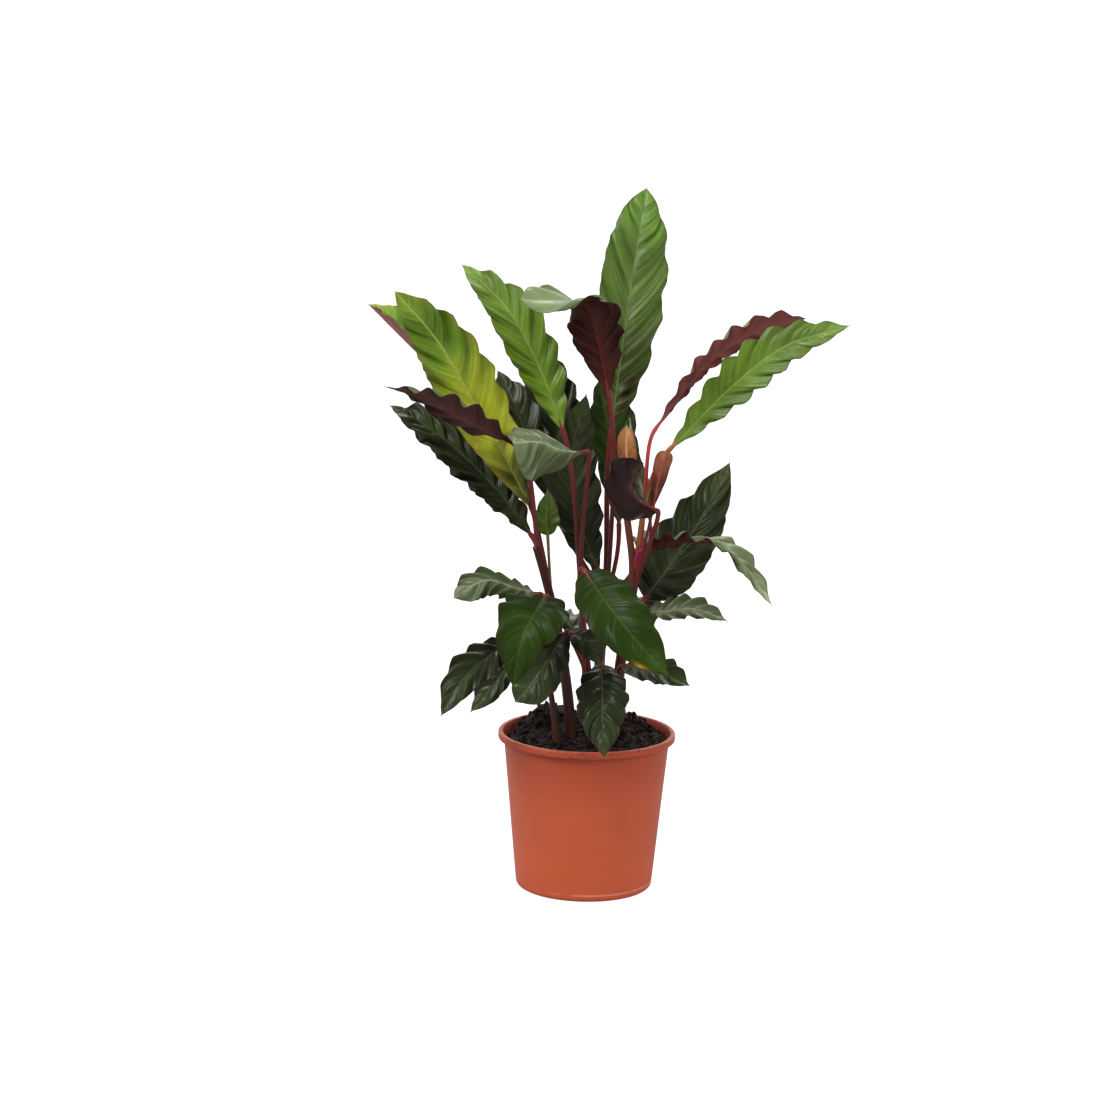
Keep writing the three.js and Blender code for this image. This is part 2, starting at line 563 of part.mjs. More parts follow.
function bladeOf(blade) {
  const curve = ribCurve(blade);
  const stations = Math.max(FEWEST_STATIONS, blade.waves * STATIONS_PER_WAVE);
  const fold = THREE.MathUtils.degToRad(blade.fold);
  const length = curve.getLength();
  const start = FIT_GAP / length;
  const drip = blade.drip ?? DRIP_LENGTH;
  const scallop = blade.scallop ?? SCALLOP;
  const points = [];
  for (let i = 0; i <= stations; i++) {
    const t = mix(start, 1, i / stations);
    const centre = curve.getPoint(t);
    const along = curve.getTangent(t);
    const up = blend3(blade.look, t);
    up.addScaledVector(along, -up.dot(along)).normalize();
    const side = new THREE.Vector3().crossVectors(along, up);
    const narrow = mix(BASE_HALF_WIDTH, TIP_HALF_WIDTH, t);
    const tipShare = 1 - Math.exp((-(1 - t) * length) / drip);
    const half = Math.max(narrow, blade.half * tipShare * widthShare(t, blade.widest, blade.ends));
    const swell = blade.ruffle * Math.sin(Math.PI * t) ** 0.5 * Math.min(1, half / (0.5 * blade.half));
    const rows = [];
    for (const s of [-1, 0, 1]) {
      const wave = Math.sin(2 * Math.PI * (blade.waves * t + (s > 0 ? WAVE_OFFSET : 0)));
      const rise = Math.abs(s) * (half * Math.sin(fold) + swell * wave);
      const out = centre.clone();
      out.addScaledVector(side, s * half * (1 + scallop * wave) * Math.cos(fold));
      out.addScaledVector(up, rise);
      rows.push(out);
    }
    for (const p of rows) points.push(p.clone().addScaledVector(up, BLADE_THICKNESS / 2));
    for (const p of rows) points.push(p.clone().addScaledVector(up, -BLADE_THICKNESS / 2));
    points[points.length - 2].addScaledVector(up, -RIB_DEPTH * (1 - t));
  }
  const faces = [];
  const at = (i, row) => 6 * i + row; // rows 0, 1, 2 are the top face, 3, 4, 5 the underside
  for (let i = 0; i < stations; i++) {
    for (const k of [0, 1]) {
      faces.push([at(i, k), at(i, k + 1), at(i + 1, k + 1)]);
      faces.push([at(i, k), at(i + 1, k + 1), at(i + 1, k)]);
      faces.push([at(i, k + 3), at(i + 1, k + 4), at(i, k + 4)]);
      faces.push([at(i, k + 3), at(i + 1, k + 3), at(i + 1, k + 4)]);
    }
    faces.push([at(i, 2), at(i, 5), at(i + 1, 5)], [at(i, 2), at(i + 1, 5), at(i + 1, 2)]);
    faces.push([at(i, 0), at(i + 1, 3), at(i, 3)], [at(i, 0), at(i + 1, 0), at(i + 1, 3)]);
  }
  const n = stations;
  for (const k of [0, 1]) {
    faces.push([at(0, k), at(0, k + 3), at(0, k + 4)], [at(0, k), at(0, k + 4), at(0, k + 1)]);
    faces.push([at(n, k), at(n, k + 4), at(n, k + 3)], [at(n, k), at(n, k + 1), at(n, k + 4)]);
  }
  return meshFrom(points, faces);
}

// ---- the plant ----

function piece(name, geometry, colour, roughness) {
  const material = new THREE.MeshStandardMaterial({ color: COLOURS[colour], roughness, metalness: 0 });
  const mesh = new THREE.Mesh(geometry, material);
  mesh.name = name;
  return mesh;
}

const plant = new THREE.Group();
plant.add(piece("pot", pot(), "pot", 0.5));
plant.add(piece("soil", soil(), "soil", 0.95));
for (const name of Object.keys(SHOOTS)) plant.add(piece("shoot_" + name, shootOf(name), "stalk", 0.5));
for (const blade of BLADES) plant.add(piece(blade.name, bladeOf(blade), blade.colour, 0.4));

export default plant;
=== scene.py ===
"""Potted calathea: the finished surfaces of a plant in a nursery pot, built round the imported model.

Plant and pot are worked out in millimetres, as the model is, and written into the meshes in metres.
The frame has +Z up, the pot stands on z = 0 and the plant's front looks along -Y.
"""

import json
import math
from dataclasses import dataclass

import bmesh
import bpy
import numpy as np
from mathutils import Matrix, Vector, noise


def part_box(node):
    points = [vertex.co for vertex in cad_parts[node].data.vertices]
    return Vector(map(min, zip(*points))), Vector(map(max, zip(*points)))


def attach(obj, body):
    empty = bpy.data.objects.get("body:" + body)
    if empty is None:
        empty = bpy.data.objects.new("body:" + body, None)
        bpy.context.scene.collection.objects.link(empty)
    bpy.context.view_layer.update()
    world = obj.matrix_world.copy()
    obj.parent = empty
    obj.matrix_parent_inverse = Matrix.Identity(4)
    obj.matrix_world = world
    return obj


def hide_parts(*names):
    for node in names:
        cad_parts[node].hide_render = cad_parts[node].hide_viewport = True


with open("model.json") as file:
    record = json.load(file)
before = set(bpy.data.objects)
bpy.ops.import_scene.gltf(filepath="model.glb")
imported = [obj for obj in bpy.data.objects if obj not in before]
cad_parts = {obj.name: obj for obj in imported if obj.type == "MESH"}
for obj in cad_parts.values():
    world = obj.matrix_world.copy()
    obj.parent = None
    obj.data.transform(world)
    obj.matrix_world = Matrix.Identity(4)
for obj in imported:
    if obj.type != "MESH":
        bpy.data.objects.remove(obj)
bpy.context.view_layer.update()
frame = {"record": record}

MM = 0.001
BODY = "root"

# ---- the pot and the soil, in millimetres ----

_, POT_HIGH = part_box("pot")
POT_HEIGHT = POT_HIGH.z / MM
RIM_RADIUS = POT_HIGH.x / MM
LIP_HEIGHT = 6.7
LIP_WIDTH = 4.6
LIP_ROUND = 1.6
WALL_TOP_RADIUS = 79.5
BASE_RADIUS = 65.4
BASE_ROUND = 4.5
WALL = 1.8
FLOOR = 2.2
POT_SIDES = 160
DRAIN_COUNT = 8
DRAIN_RADIUS = 4.5
DRAIN_CIRCLE = 48

FIT_GAP = 0.35
SOIL_EDGE_HEIGHT = 142
SOIL_CROWN = 3
SOIL_HEAPS = (((-36, 38), 20, 21), ((44, 44), 11, 14), ((0, 0), 8, 34))  # place, height, spread
SOIL_LUMPS = ((0.7, (0.21, 0.24), 1.3), (0.7, (0.23, -0.2), 0.4), (0.8, (0.41, -0.37), 0))
SHEATH_FOOT = 108

# ---- the plant, in millimetres: the shoots and blades of the model ----

@dataclass
class Blade:
    shoot: str
    half: float  # half its width where it is widest
    rib: tuple  # the midrib from base to tip
    look: tuple  # the way the top face looks at the base, in the middle and at the tip
    stalk: tuple  # where the stalk leaves the shoot, and how far it runs straight out and straight in
    stalk_radius: float = 0  # where it isn't the usual one
    stalk_tone: tuple = None  # the own colour of the stalk's upper part
    waves: int = 5
    ruffle: float = 3  # how far the waves lift the edges
    scallop: float = 0.07  # the edges bulge by this share of the half width where their wave is high
    fold: float = 10  # degrees
    widest: float = 0.5
    ends: tuple = (0.85, 0.75)  # the lower, the blunter: the base and the tip
    drip: float = 5  # how long the drawn out tip is
    colour: str = "dark"  # the family of the top face
    under: tuple = None  # the underside's own colour
    shade: float = 1  # how much lighter than its family it is
    relief: float = 1  # the share of the veins' and folds' relief that it has
    dull: bool = False  # an old leaf, which has lost most of its gloss
    withered: tuple = None  # where the margin withers: the share of the length and the side


# Where each shoot stands in the soil, the middle and the end of its centre line, and its radii.
SHOOTS = {
    "tall_left": dict(at=(-14, -18), bend=(-15, -19, 222), top=(-52, -36, 338), radius=(6.4, 4)),
    "low_left": dict(at=(-28, -36), bend=(-29, -37, 190), top=(-42, -38, 222), radius=(4.2, 2.6)),
    "centre": dict(at=(2, -5), bend=(1, -6, 190), top=(-7, -9, 262), radius=(5, 4)),
    "back": dict(at=(9, 18), bend=(9, 18, 200), top=(14, 20, 262), radius=(6.2, 4.6)),
    "right": dict(at=(26, -6), bend=(26, -6, 215), top=(41, -9, 292), radius=(6.4, 4.4)),
    "front": dict(at=(5, -33), bend=(5, -33, 180), top=(3, -37, 200), radius=(4.4, 3.4)),
}

BLADES = {
    "leaf_crown": Blade("back", 33, colour="crown", waves=6, fold=9, widest=0.58,
        rib=((17, 24, 440), (25, 38, 510), (36, 62, 595), (47, 96, 666)),
        look=((0.4, -1, 0.15), (0.4, -1, 0.3), (0.3, -1, 0.4)),
        stalk=(0.98, 70, 60), ends=(0.75, 0.6), scallop=0.04, stalk_radius=2.6, relief=1.15),
    "leaf_twisted": Blade("back", 27, colour="wine", waves=6, fold=4, widest=0.56,
        rib=((13, -24, 483), (2, -30, 531), (-13, -34, 565), (-70, -52, 572)),
        look=((0.1, 1, 0.1), (0.25, 1, 0.7), (-0.1, -0.8, 0.6)),
        stalk=(1, 70, 50), ends=(0.85, 0.35), drip=3, scallop=0.1, relief=0.35),
    "leaf_left_centre": Blade("centre", 23, colour="light", waves=7, ruffle=4.5, fold=12,
        rib=((-29, -10, 445), (-50, -2, 498), (-84, 14, 556), (-128, 34, 595)),
        look=((0.2, -0.95, 0.1), (0.2, -0.95, 0.3), (0.2, -0.8, 0.6)), stalk=(1, 60, 40), scallop=0.11),
    "leaf_big_left": Blade("tall_left", 30, colour="fresh", waves=8, ruffle=4,
        rib=((-57, -36, 375), (-102, -46, 458), (-143, -54, 528), (-186, -58, 578)),
        look=((0.25, -0.95, 0.25), (0.25, -0.95, 0.3), (0.25, -0.9, 0.4)),
        stalk=(0.97, 14, 14), scallop=0.05, relief=0.8),
    "leaf_folded_left": Blade("tall_left", 26, colour="fresh", waves=7, fold=48, widest=0.55,
        rib=((-88, 0, 431), (-146, 14, 491), (-185, 26, 527), (-216, 38, 555)),
        look=((0.5, -0.35, 0.7), (0.5, -0.4, 0.7), (0.5, -0.4, 0.8)),
        stalk=(0.7, 60, 50), shade=1.65, under=(124, 78, 74)),
    "leaf_wine_left": Blade("tall_left", 20, colour="wine", waves=6, ruffle=3.5, fold=12, widest=0.35,
        rib=((-74, -54, 438), (-114, -82, 460), (-154, -98, 483), (-191, -112, 497)),
        look=((0.3, 0.8, 0.6), (0.3, 0.75, 0.65), (0.3, 0.2, 0.9)),
        stalk=(0.95, 26, 28), ends=(1.4, 0.75), scallop=0.12, relief=0.5, under=(80, 42, 40)),
    "leaf_dark_left": Blade("tall_left", 25, waves=8, ruffle=6.5, widest=0.45,
        rib=((-57, -24, 347), (-97, -16, 395), (-147, -6, 438), (-193, 6, 463)),
        look=((0.35, -0.7, 0.6), (0.35, -0.7, 0.6), (0.3, -0.6, 0.75)),
        stalk=(0.85, 16, 12), scallop=0.12, relief=1.8),
    "leaf_small_forward": Blade("centre", 38, colour="grey", waves=4, ruffle=2.5, fold=-38, widest=0.72,
        rib=((-5, -44, 430), (-28, -65, 434), (-50, -82, 444), (-74, -95, 445)),
        look=((0.1, -0.7, 0.6), (0.05, -0.7, 0.6), (-0.1, -0.7, 0.6)),
        stalk=(0.95, 90, 8), ends=(1.9, 0.4), drip=2, shade=0.9, relief=2),
    "leaf_inner_left": Blade("back", 20, ruffle=3.5, fold=12,
        rib=((-40, 32, 371), (-58, 42, 417), (-76, 56, 458), (-93, 72, 490)),
        look=((0.3, -0.9, 0.2), (0.3, -0.9, 0.3), (0.3, -0.8, 0.4)), stalk=(0.9, 50, 60), scallop=0.1),
    "leaf_inner_front": Blade("back", 24, waves=6,
        rib=((8, 7, 308), (-11, 9, 356), (-19, 16, 417), (-7, 32, 474)),
        look=((0.1, -1, 0.1), (0, -1, 0.15), (0, -1, 0.2)), stalk=(0.95, 20, 20), scallop=0.1),
    "leaf_inner_back": Blade("back", 27, waves=6, ruffle=3.5, fold=12,
        rib=((-25, 56, 386), (-31, 68, 423), (-43, 84, 470), (-49, 104, 511)),
        look=((0.1, -1, 0.1), (0.1, -1, 0.2), (0.1, -1, 0.3)), stalk=(0.9, 60, 70)),
    "leaf_inner_right": Blade("back", 22, colour="mid",
        rib=((27, 40, 347), (24, 48, 405), (17, 60, 455), (10, 76, 491)),
        look=((0, -1, 0.1), (0, -1, 0.15), (0, -1, 0.3)), stalk=(0.9, 40, 40)),
    "leaf_young_light": Blade("tall_left", 12, colour="light", waves=3, ruffle=1.5, fold=12, widest=0.35,
        rib=((-41, -25, 347), (-42, -26, 362), (-42, -27, 376), (-42, -26, 391)),
        look=((0, -1, 0.2),) * 3,
        stalk=(0.72, 10, 30), ends=(0.5, 0.8), shade=0.5, stalk_tone=(108, 90, 40)),
    "leaf_cupped": Blade("right", 25, colour="wine", waves=4, fold=44, widest=0.55,
        rib=((61, -46, 376), (39, -48, 389), (39, -44, 408), (47, -40, 420)),
        look=((-0.1, 0.7, -0.7), (-0.7, 0.7, -0.1), (-0.7, 0.7, 0.3)),
        stalk=(1, 14, 6), ends=(0.5, 0.5), drip=2, relief=0.4, under=(38, 15, 17)),
    "leaf_young_right": Blade("right", 9, colour="grey", waves=3, ruffle=1.5, widest=0.3,
        rib=((54, -6, 366), (47, -4, 391), (39, 0, 419), (34, 4, 456)),
        look=((-0.2, -1, 0.1),) * 3, stalk=(1, 30, 30), ends=(0.6, 1)),
    "leaf_wine_right": Blade("right", 15, colour="wine", waves=8, widest=0.8,
        rib=((58, -8, 447), (98, 10, 499), (142, 30, 531), (201, 52, 548)),
        look=((-0.5, 0.8, 0.3), (-0.4, 0.8, 0.5), (-0.4, 0.8, 0.5)),
        stalk=(1, 80, 22), scallop=0.16, stalk_radius=1.9,
        relief=0.5, under=(116, 60, 54), stalk_tone=(176, 62, 68)),
    "leaf_light_right": Blade("right", 21, colour="light", waves=8, ruffle=2.2,
        rib=((73, -22, 432), (124, -38, 490), (173, -48, 532), (233, -54, 554)),
        look=((-0.2, -0.9, 0.35), (-0.2, -0.9, 0.4), (-0.1, -0.8, 0.6)),
        stalk=(1, 40, 50), scallop=0.18, shade=0.88, relief=0.55, stalk_tone=(160, 98, 46)),
    "leaf_dark_right": Blade("right", 31, waves=6, ruffle=4, fold=8, widest=0.42,
        rib=((53, 12, 281), (72, 20, 305), (105, 42, 352), (134, 72, 405)),
        look=((-0.3, -0.9, 0.3), (-0.3, -0.9, 0.3), (-0.3, -0.85, 0.4)),
        stalk=(0.7, 16, 16), ends=(0.6, 0.75), relief=1.4),
    "leaf_arching_right": Blade("right", 17, colour="grey", waves=7, ruffle=3.5, fold=12,
        rib=((50, -16, 333), (83, -38, 345), (129, -60, 342), (169, -78, 294)),
        look=((-0.1, 0.9, 0.5), (0, 0.2, 1), (0.5, -0.8, 0.4)),
        stalk=(1, 20, 14), scallop=0.12, shade=1.15, stalk_tone=(176, 40, 78)),
    "leaf_small_right": Blade("right", 14, colour="grey", waves=6, ruffle=3.5,
        rib=((48, -14, 273), (71, -26, 276), (99, -38, 281), (130, -50, 273)),
        look=((0, -0.6, 0.8),) * 3, stalk=(0.75, 8, 8), scallop=0.14, shade=0.68, relief=1.3),
    "leaf_waved_left": Blade("tall_left", 15, colour="grey", waves=6, ruffle=5, fold=-22, widest=0.75,
        rib=((-47, -48, 295), (-70, -60, 303), (-98, -72, 312), (-127, -84, 297)),
        look=((0.1, -0.6, 0.8), (0.1, -0.6, 0.8), (0.1, -0.95, 0.3)),
        stalk=(0.62, 12, 8), ends=(0.8, 0.4), scallop=0.14, shade=0.72, relief=1.3),
    "leaf_front_left": Blade("tall_left", 31, colour="mid", waves=4, fold=8, widest=0.35,
        rib=((-42, -68, 297), (-51, -98, 288), (-63, -116, 266), (-70, -120, 221)),
        look=((0, -0.4, 1), (0.1, -0.7, 0.7), (0.1, -0.95, 0.2)),
        stalk=(0.6, 16, 12), ends=(0.55, 0.8), shade=0.7, relief=0.4, dull=True),
    "leaf_low_left": Blade("low_left", 19, ruffle=3.5, fold=8,
        rib=((-73, -36, 248), (-93, -56, 237), (-118, -74, 217), (-137, -88, 185)),
        look=((-0.1, -0.8, 0.6), (-0.2, -0.85, 0.5), (-0.2, -0.9, 0.4)),
        stalk=(1, 10, 10), shade=0.85, relief=1.2),
    "leaf_low_left_back": Blade("low_left", 15, waves=4, ruffle=2.5,
        rib=((-70, -8, 227), (-81, -12, 211), (-95, -14, 192), (-112, -14, 171)),
        look=((-0.1, -0.7, 0.7), (-0.2, -0.7, 0.6), (-0.2, -0.8, 0.5)), stalk=(0.97, 10, 14)),
    "leaf_low_left_front": Blade("tall_left", 23, waves=4, fold=8, widest=0.6,
        rib=((-22, -54, 260), (-36, -72, 242), (-52, -84, 219), (-68, -88, 200)),
        look=((-0.1, -0.8, 0.6), (-0.1, -0.85, 0.5), (-0.1, -0.9, 0.4)),
        stalk=(0.42, 16, 10), ends=(0.7, 0.5), shade=1.15, relief=1.4),
    "leaf_big_front": Blade("front", 28, colour="mid", waves=4, ruffle=2.5, widest=0.42,
        rib=((-5, -70, 321), (15, -100, 298), (41, -122, 270), (72, -134, 239)),
        look=((-0.15, -0.65, 0.75), (-0.15, -0.75, 0.65), (0, -0.9, 0.4)),
        stalk=(1, 60, 30), ends=(0.45, 0.75), scallop=0.04,
        shade=0.72, relief=0.28, dull=True, withered=(0.84, 1)),
    "leaf_over_rim": Blade("front", 24, ruffle=2.5, widest=0.45,
        rib=((12, -50, 229), (13, -78, 211), (13, -95, 187), (16, -105, 152)),
        look=((0, -0.5, 0.85), (0, -0.8, 0.6), (0, -1, 0.2)),
        stalk=(1, 12, 12), ends=(0.6, 0.8), shade=0.85, relief=1.5),
    "leaf_low_right": Blade("right", 18,
        rib=((32, -22, 221), (49, -40, 224), (72, -58, 222), (95, -72, 215)),
        look=((0.1, -0.6, 0.75), (0.1, -0.6, 0.75), (0.1, -0.6, 0.7)),
        stalk=(0.42, 8, 8), scallop=0.12, shade=1.2, relief=1.4),
    "leaf_inner_low": Blade("front", 17, waves=3, ruffle=2.5,
        rib=((-17, -60, 260), (-7, -70, 259), (2, -76, 251), (12, -80, 234)),
        look=((0.1, -0.5, 0.85), (0.1, -0.6, 0.8), (0.1, -0.8, 0.6)), stalk=(0.95, 26, 8)),
    "leaf_back_low_left": Blade("back", 24, ruffle=3.5, fold=8,
        rib=((-9, 46, 230), (-24, 70, 246), (-42, 94, 244), (-60, 112, 222)),
        look=((-0.2, 0.5, 0.8), (-0.2, 0.5, 0.8), (-0.3, 0.8, 0.5)), stalk=(0.6, 14, 14)),
    "leaf_back_low_right": Blade("back", 26, ruffle=3.5, fold=8, widest=0.45,
        rib=((24, 46, 244), (36, 68, 262), (50, 96, 256), (62, 122, 224)),
        look=((0.2, 0.5, 0.8), (0.2, 0.6, 0.8), (0.3, 0.9, 0.4)), stalk=(0.7, 14, 14)),
    "leaf_back_right": Blade("back", 21, waves=6, ruffle=3.5,
        rib=((42, 46, 300), (58, 70, 324), (78, 98, 330), (98, 128, 312)),
        look=((0.2, 0.5, 0.8), (0.2, 0.6, 0.8), (0.3, 0.8, 0.6)), stalk=(0.92, 30, 18)),
    "sheath_centre": Blade("right", 10, colour="sheath", waves=1, ruffle=0, fold=24,
        rib=((32, -10, 391), (32, -12, 415), (31, -12, 432), (31, -12, 451)),
        look=((0, 1, 0),) * 3, stalk=(0.9, 50, 50), ends=(0.3, 0.4), drip=3, stalk_radius=3.4,
        shade=1.4, stalk_tone=(112, 58, 44)),
    "sheath_right": Blade("right", 9, colour="red", waves=1, ruffle=0, fold=24, widest=0.8,
        rib=((57, -30, 376), (60, -32, 395), (64, -33, 413), (69, -34, 431)),
        look=((0, 1, 0),) * 3, stalk=(1, 24, 30), ends=(0.8, 0.32), drip=1, stalk_tone=(126, 48, 38)),
}

BASE_HALF_WIDTH = 1.9
TIP_HALF_WIDTH = 0.35
WAVE_OFFSET = 0.3  # the two edges' waves are this part of a wave apart
STALK_RADIUS = 2.2
SLIM_STALK_RADIUS = 1.4
SLIM_BELOW = 14  # blades this narrow have a slim stalk


# ---- colours ----

def srgb(red, green, blue):
    """The surface colour of these 0-255 screen values."""
    def linear(c):
        c /= 255
        return c / 12.92 if c <= 0.04045 else ((c + 0.055) / 1.055) ** 2.4
    return np.array([linear(red), linear(green), linear(blue)])


# Each family of blades: the top face near its base, in the middle and near its tip, the paler tone of its
# midrib and of the painted sheen streaks along its veins, and its margin.
TOPS = {
    "crown": ((38, 28, 2), (74, 96, 36), (92, 126, 46), (122, 144, 84), (64, 80, 32)),
    # the fresh family's bright yellow middle is partly the blades' own colour and partly painted light, the
    # glow of light shining through them
    "fresh": ((72, 70, 12), (178, 184, 46), (78, 110, 22), (168, 182, 80), (136, 122, 48)),
    "light": ((84, 112, 16), (88, 118, 26), (98, 124, 52), (134, 160, 78), (84, 102, 40)),
    "mid": ((36, 50, 16), (42, 64, 18), (46, 70, 22), (74, 98, 42), (42, 46, 20)),
    "dark": ((28, 32, 12), (40, 48, 22), (50, 60, 28), (82, 92, 58), (44, 38, 24)),
    "grey": ((52, 60, 32), (76, 88, 50), (102, 114, 80), (160, 168, 138), (70, 74, 48)),
    "wine": ((50, 63, 30), (92, 108, 64), (112, 130, 86), (146, 158, 120), (98, 104, 78)),
    "red": ((84, 30, 28), (122, 58, 42), (158, 98, 66), (150, 84, 60), (84, 34, 28)),
    "sheath": ((120, 50, 34), (150, 94, 56), (178, 124, 80), (184, 134, 90), (106, 48, 34)),
}
# Between which shares of the length the base's colour turns into the middle's, and that into the tip's.
USUAL_TURNS = (0.1, 0.5, 0.5, 1)
TURNS = {
    "crown": (0.2, 0.48, 0.5, 1),
    "fresh": (0.1, 0.26, 0.36, 0.62),
    "red": (0.1, 0.6, 0.5, 1),
    "sheath": (0.1, 0.6, 0.5, 1),
}
UNDERSIDE = srgb(70, 22, 11)
UNDERSIDE_RIB = srgb(94, 28, 20)
UNDERSIDE_EDGE = srgb(44, 16, 11)
WITHERED_TONE = srgb(196, 152, 30)
STALK_DARK = srgb(60, 24, 22)
STALK_FOOT = srgb(88, 52, 34)
STALK_TOP = srgb(108, 38, 34)


# ---- meshes ----

SLOTS = {row["node"]: row["material_slot"] for row in frame["record"]["subparts"]}


def new_mesh(name, points, faces, slot, material, smooth=True):
    """A piece of the object from points in millimetres. It rides on the plant's only body."""
    mesh = bpy.data.meshes.new(name)
    mesh.from_pydata([tuple(p) for p in np.asarray(points, float) * MM], [], faces)
    mesh.validate()
    mesh.update()
    if smooth:
        mesh.polygons.foreach_set("use_smooth", [True] * len(mesh.polygons))
    piece = bpy.data.objects.new(name, mesh)
    bpy.context.scene.collection.objects.link(piece)
    mesh.materials.append(material)
    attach(piece, BODY)
    return piece


def point_colour(piece, name, values):
    layer = piece.data.attributes.new(name, "FLOAT_COLOR", "POINT")
    rgba = np.ones((len(values), 4), np.float32)
    rgba[:, :3] = values
    layer.data.foreach_set("color", rgba.ravel())


def point_number(piece, name, values):
    layer = piece.data.attributes.new(name, "FLOAT", "POINT")
    layer.data.foreach_set("value", np.asarray(values, np.float32).ravel())


def unit(vectors):
    return vectors / np.maximum(np.linalg.norm(vectors, axis=-1, keepdims=True), 1e-9)


def mix(a, b, share):
    return a + (b - a) * share


def passed(value, start, end):
    """0 up to the start, 1 past the end, and even in between."""
    return np.clip((value - start) / (end - start), 0, 1)


def bell(distance, width):
    """1 at no distance, falling off over about the width."""
    return np.exp(-((distance / width) ** 2))


# ---- curves ----

def through_four(points, t):
    """The even curve through four points: where it is and which way it runs, for each t from 0 to 1."""
    p = np.array(points, float)
    p = np.vstack([2 * p[0] - p[1], p, 2 * p[3] - p[2]])
    part = np.clip(np.floor(t * 3).astype(int), 0, 2)
    w = (t * 3 - part)[:, None]
    a, b, c, d = p[part], p[part + 1], p[part + 2], p[part + 3]
    m, n = (c - a) / 2, (d - b) / 2
    u, v = 3 * (c - b) - 2 * m - n, 2 * (b - c) + m + n
    return b + m * w + u * w**2 + v * w**3, unit(m + 2 * u * w + 3 * v * w**2)


def bezier(points, t):
    """A Bezier curve of three or four points: where it is and which way it runs, for each t."""
    p = np.array(points, float)
    n = len(p) - 1
    t = np.atleast_1d(t)[:, None]
    place = sum(math.comb(n, k) * (1 - t) ** (n - k) * t**k * p[k] for k in range(n + 1))
    q = n * np.diff(p, axis=0)
    along = sum(math.comb(n - 1, k) * (1 - t) ** (n - 1 - k) * t**k * q[k] for k in range(n))
    return place, unit(along)


def line_length(line):
    return np.linalg.norm(np.diff(line, axis=0), axis=1).sum()


def length_of(rib):
    return line_length(through_four(rib, np.linspace(0, 1, 60))[0])


def shoot_line(shoot, t):
    spec = SHOOTS[shoot]
    return bezier([(*spec["at"], SHEATH_FOOT), spec["bend"], spec["top"]], t)


def stalk_line(blade, t):
    leave, out_run, in_run = blade.stalk
    foot, out = shoot_line(blade.shoot, leave)
    _, inward = through_four(blade.rib, np.array([0.0]))
    tip = np.array(blade.rib[0], float)
    return bezier([foot[0], foot[0] + out[0] * out_run, tip - inward[0] * in_run, tip], t)


# ---- blades ----

ROW_STEP = 1.4  # millimetres between the rows of a blade's mesh, which follow its lateral veins
FEWEST_ROWS = 60
MOST_ROWS = 190
ACROSS = np.array([0, 0.03, 0.07, 0.13, 0.21, 0.31, 0.42, 0.53, 0.64, 0.75, 0.85, 0.92, 0.97, 1.0])
ASIDE = np.concatenate([-ACROSS[:0:-1], ACROSS])[None, :]  # the columns, in half widths from the midrib
SIZE = np.abs(ASIDE)
SIGN = np.where(ASIDE > 0, 1.0, -1.0)
VEIN_STEP = 9.5  # millimetres along the midrib between the main lateral veins
VEIN_LEAN = 1.5  # how far a vein runs towards the tip for each step sideways
MOST_LEAN = 0.27
VEIN_RELIEF = 1.3  # how far the blade bulges between two veins at most
FOLD_STEP = 23.0  # millimetres between the broad folds of the blade
FOLD_RELIEF = 1.7
STRIPS = 24  # as many strips between veins have a bulge of their own
LEAST_BULGE = 0.15
ARCH = 0.09  # how high each half of a blade is arched, in half widths
FULL_ARCH_HALF = 20  # narrower blades are arched less
HALF_THICKNESS = 0.24  # half of a blade's thickness, by the midrib and at the edge
EDGE_HALF_THICKNESS = 0.12
RIB_WIDTH = 1.5
RIB_HEIGHT = 1.1  # of the midrib under the blade
GROOVE_WIDTH = 0.9
GROOVE_DEPTH = 0.35  # of the midrib in the top face


def blade_frames(blade, t):
    """The midrib beside each point of a blade, and the ways up from the blade and aside."""
    centre, along = (values.reshape(*t.shape, 3) for values in through_four(blade.rib, t.ravel()))
    looks = unit(np.array(blade.look, float))
    w = t[..., None] * 2
    up = np.where(w < 1, mix(looks[0], looks[1], w), mix(looks[1], looks[2], w - 1))
    up = unit(up - along * (up * along).sum(-1, keepdims=True))
    return centre, up, np.cross(along, up)


def half_widths(blade, t, length):
    base_end, tip_end = blade.ends
    widest = blade.widest
    low = np.sin(np.pi / 2 * np.clip(t / widest, 0, 1)) ** base_end
    high = np.cos(np.pi / 2 * np.clip((t - widest) / (1 - widest), 0, 1)) ** tip_end
    share = np.where(t < widest, low, high)
    share = share * (1 - np.exp(-(1 - t) * length / blade.drip))
    return np.maximum(mix(BASE_HALF_WIDTH, TIP_HALF_WIDTH, t), blade.half * share)


def edge_waves(blade, t, meets, half, shift):
    """How far the waves of the edges lift a blade, and how much wider its scallops make it."""
    swell = blade.ruffle * np.sin(np.pi * t) ** 0.5 * np.minimum(1, half / (0.5 * blade.half))
    beat = 2 * np.pi * (blade.waves * meets + np.where(ASIDE > 0, WAVE_OFFSET, 0.0))
    uneven = 1 + 0.3 * np.sin(0.43 * beat + shift[0] + SIGN) + 0.15 * np.sin(1.37 * beat + shift[1])
    crinkle = 0.15 * np.sin(2.3 * beat + shift[2] + 2 * SIGN) + 0.08 * np.sin(3.9 * beat + shift[3] - SIGN)
    lift = swell * (0.62 * SIZE**1.5 + 0.38 * SIZE**0.7) * (np.sin(beat) * uneven + crinkle)
    round_wave = 2 * np.abs(np.cos(beat / 2 - np.pi / 4)) ** 0.8 - 1
    notch = blade.scallop * (0.4 * np.sin(beat) + 0.6 * round_wave)
    notch = notch + 0.012 * np.sin(2.6 * beat + shift[3] + SIGN)
    return lift, 1 + SIZE**2 * notch


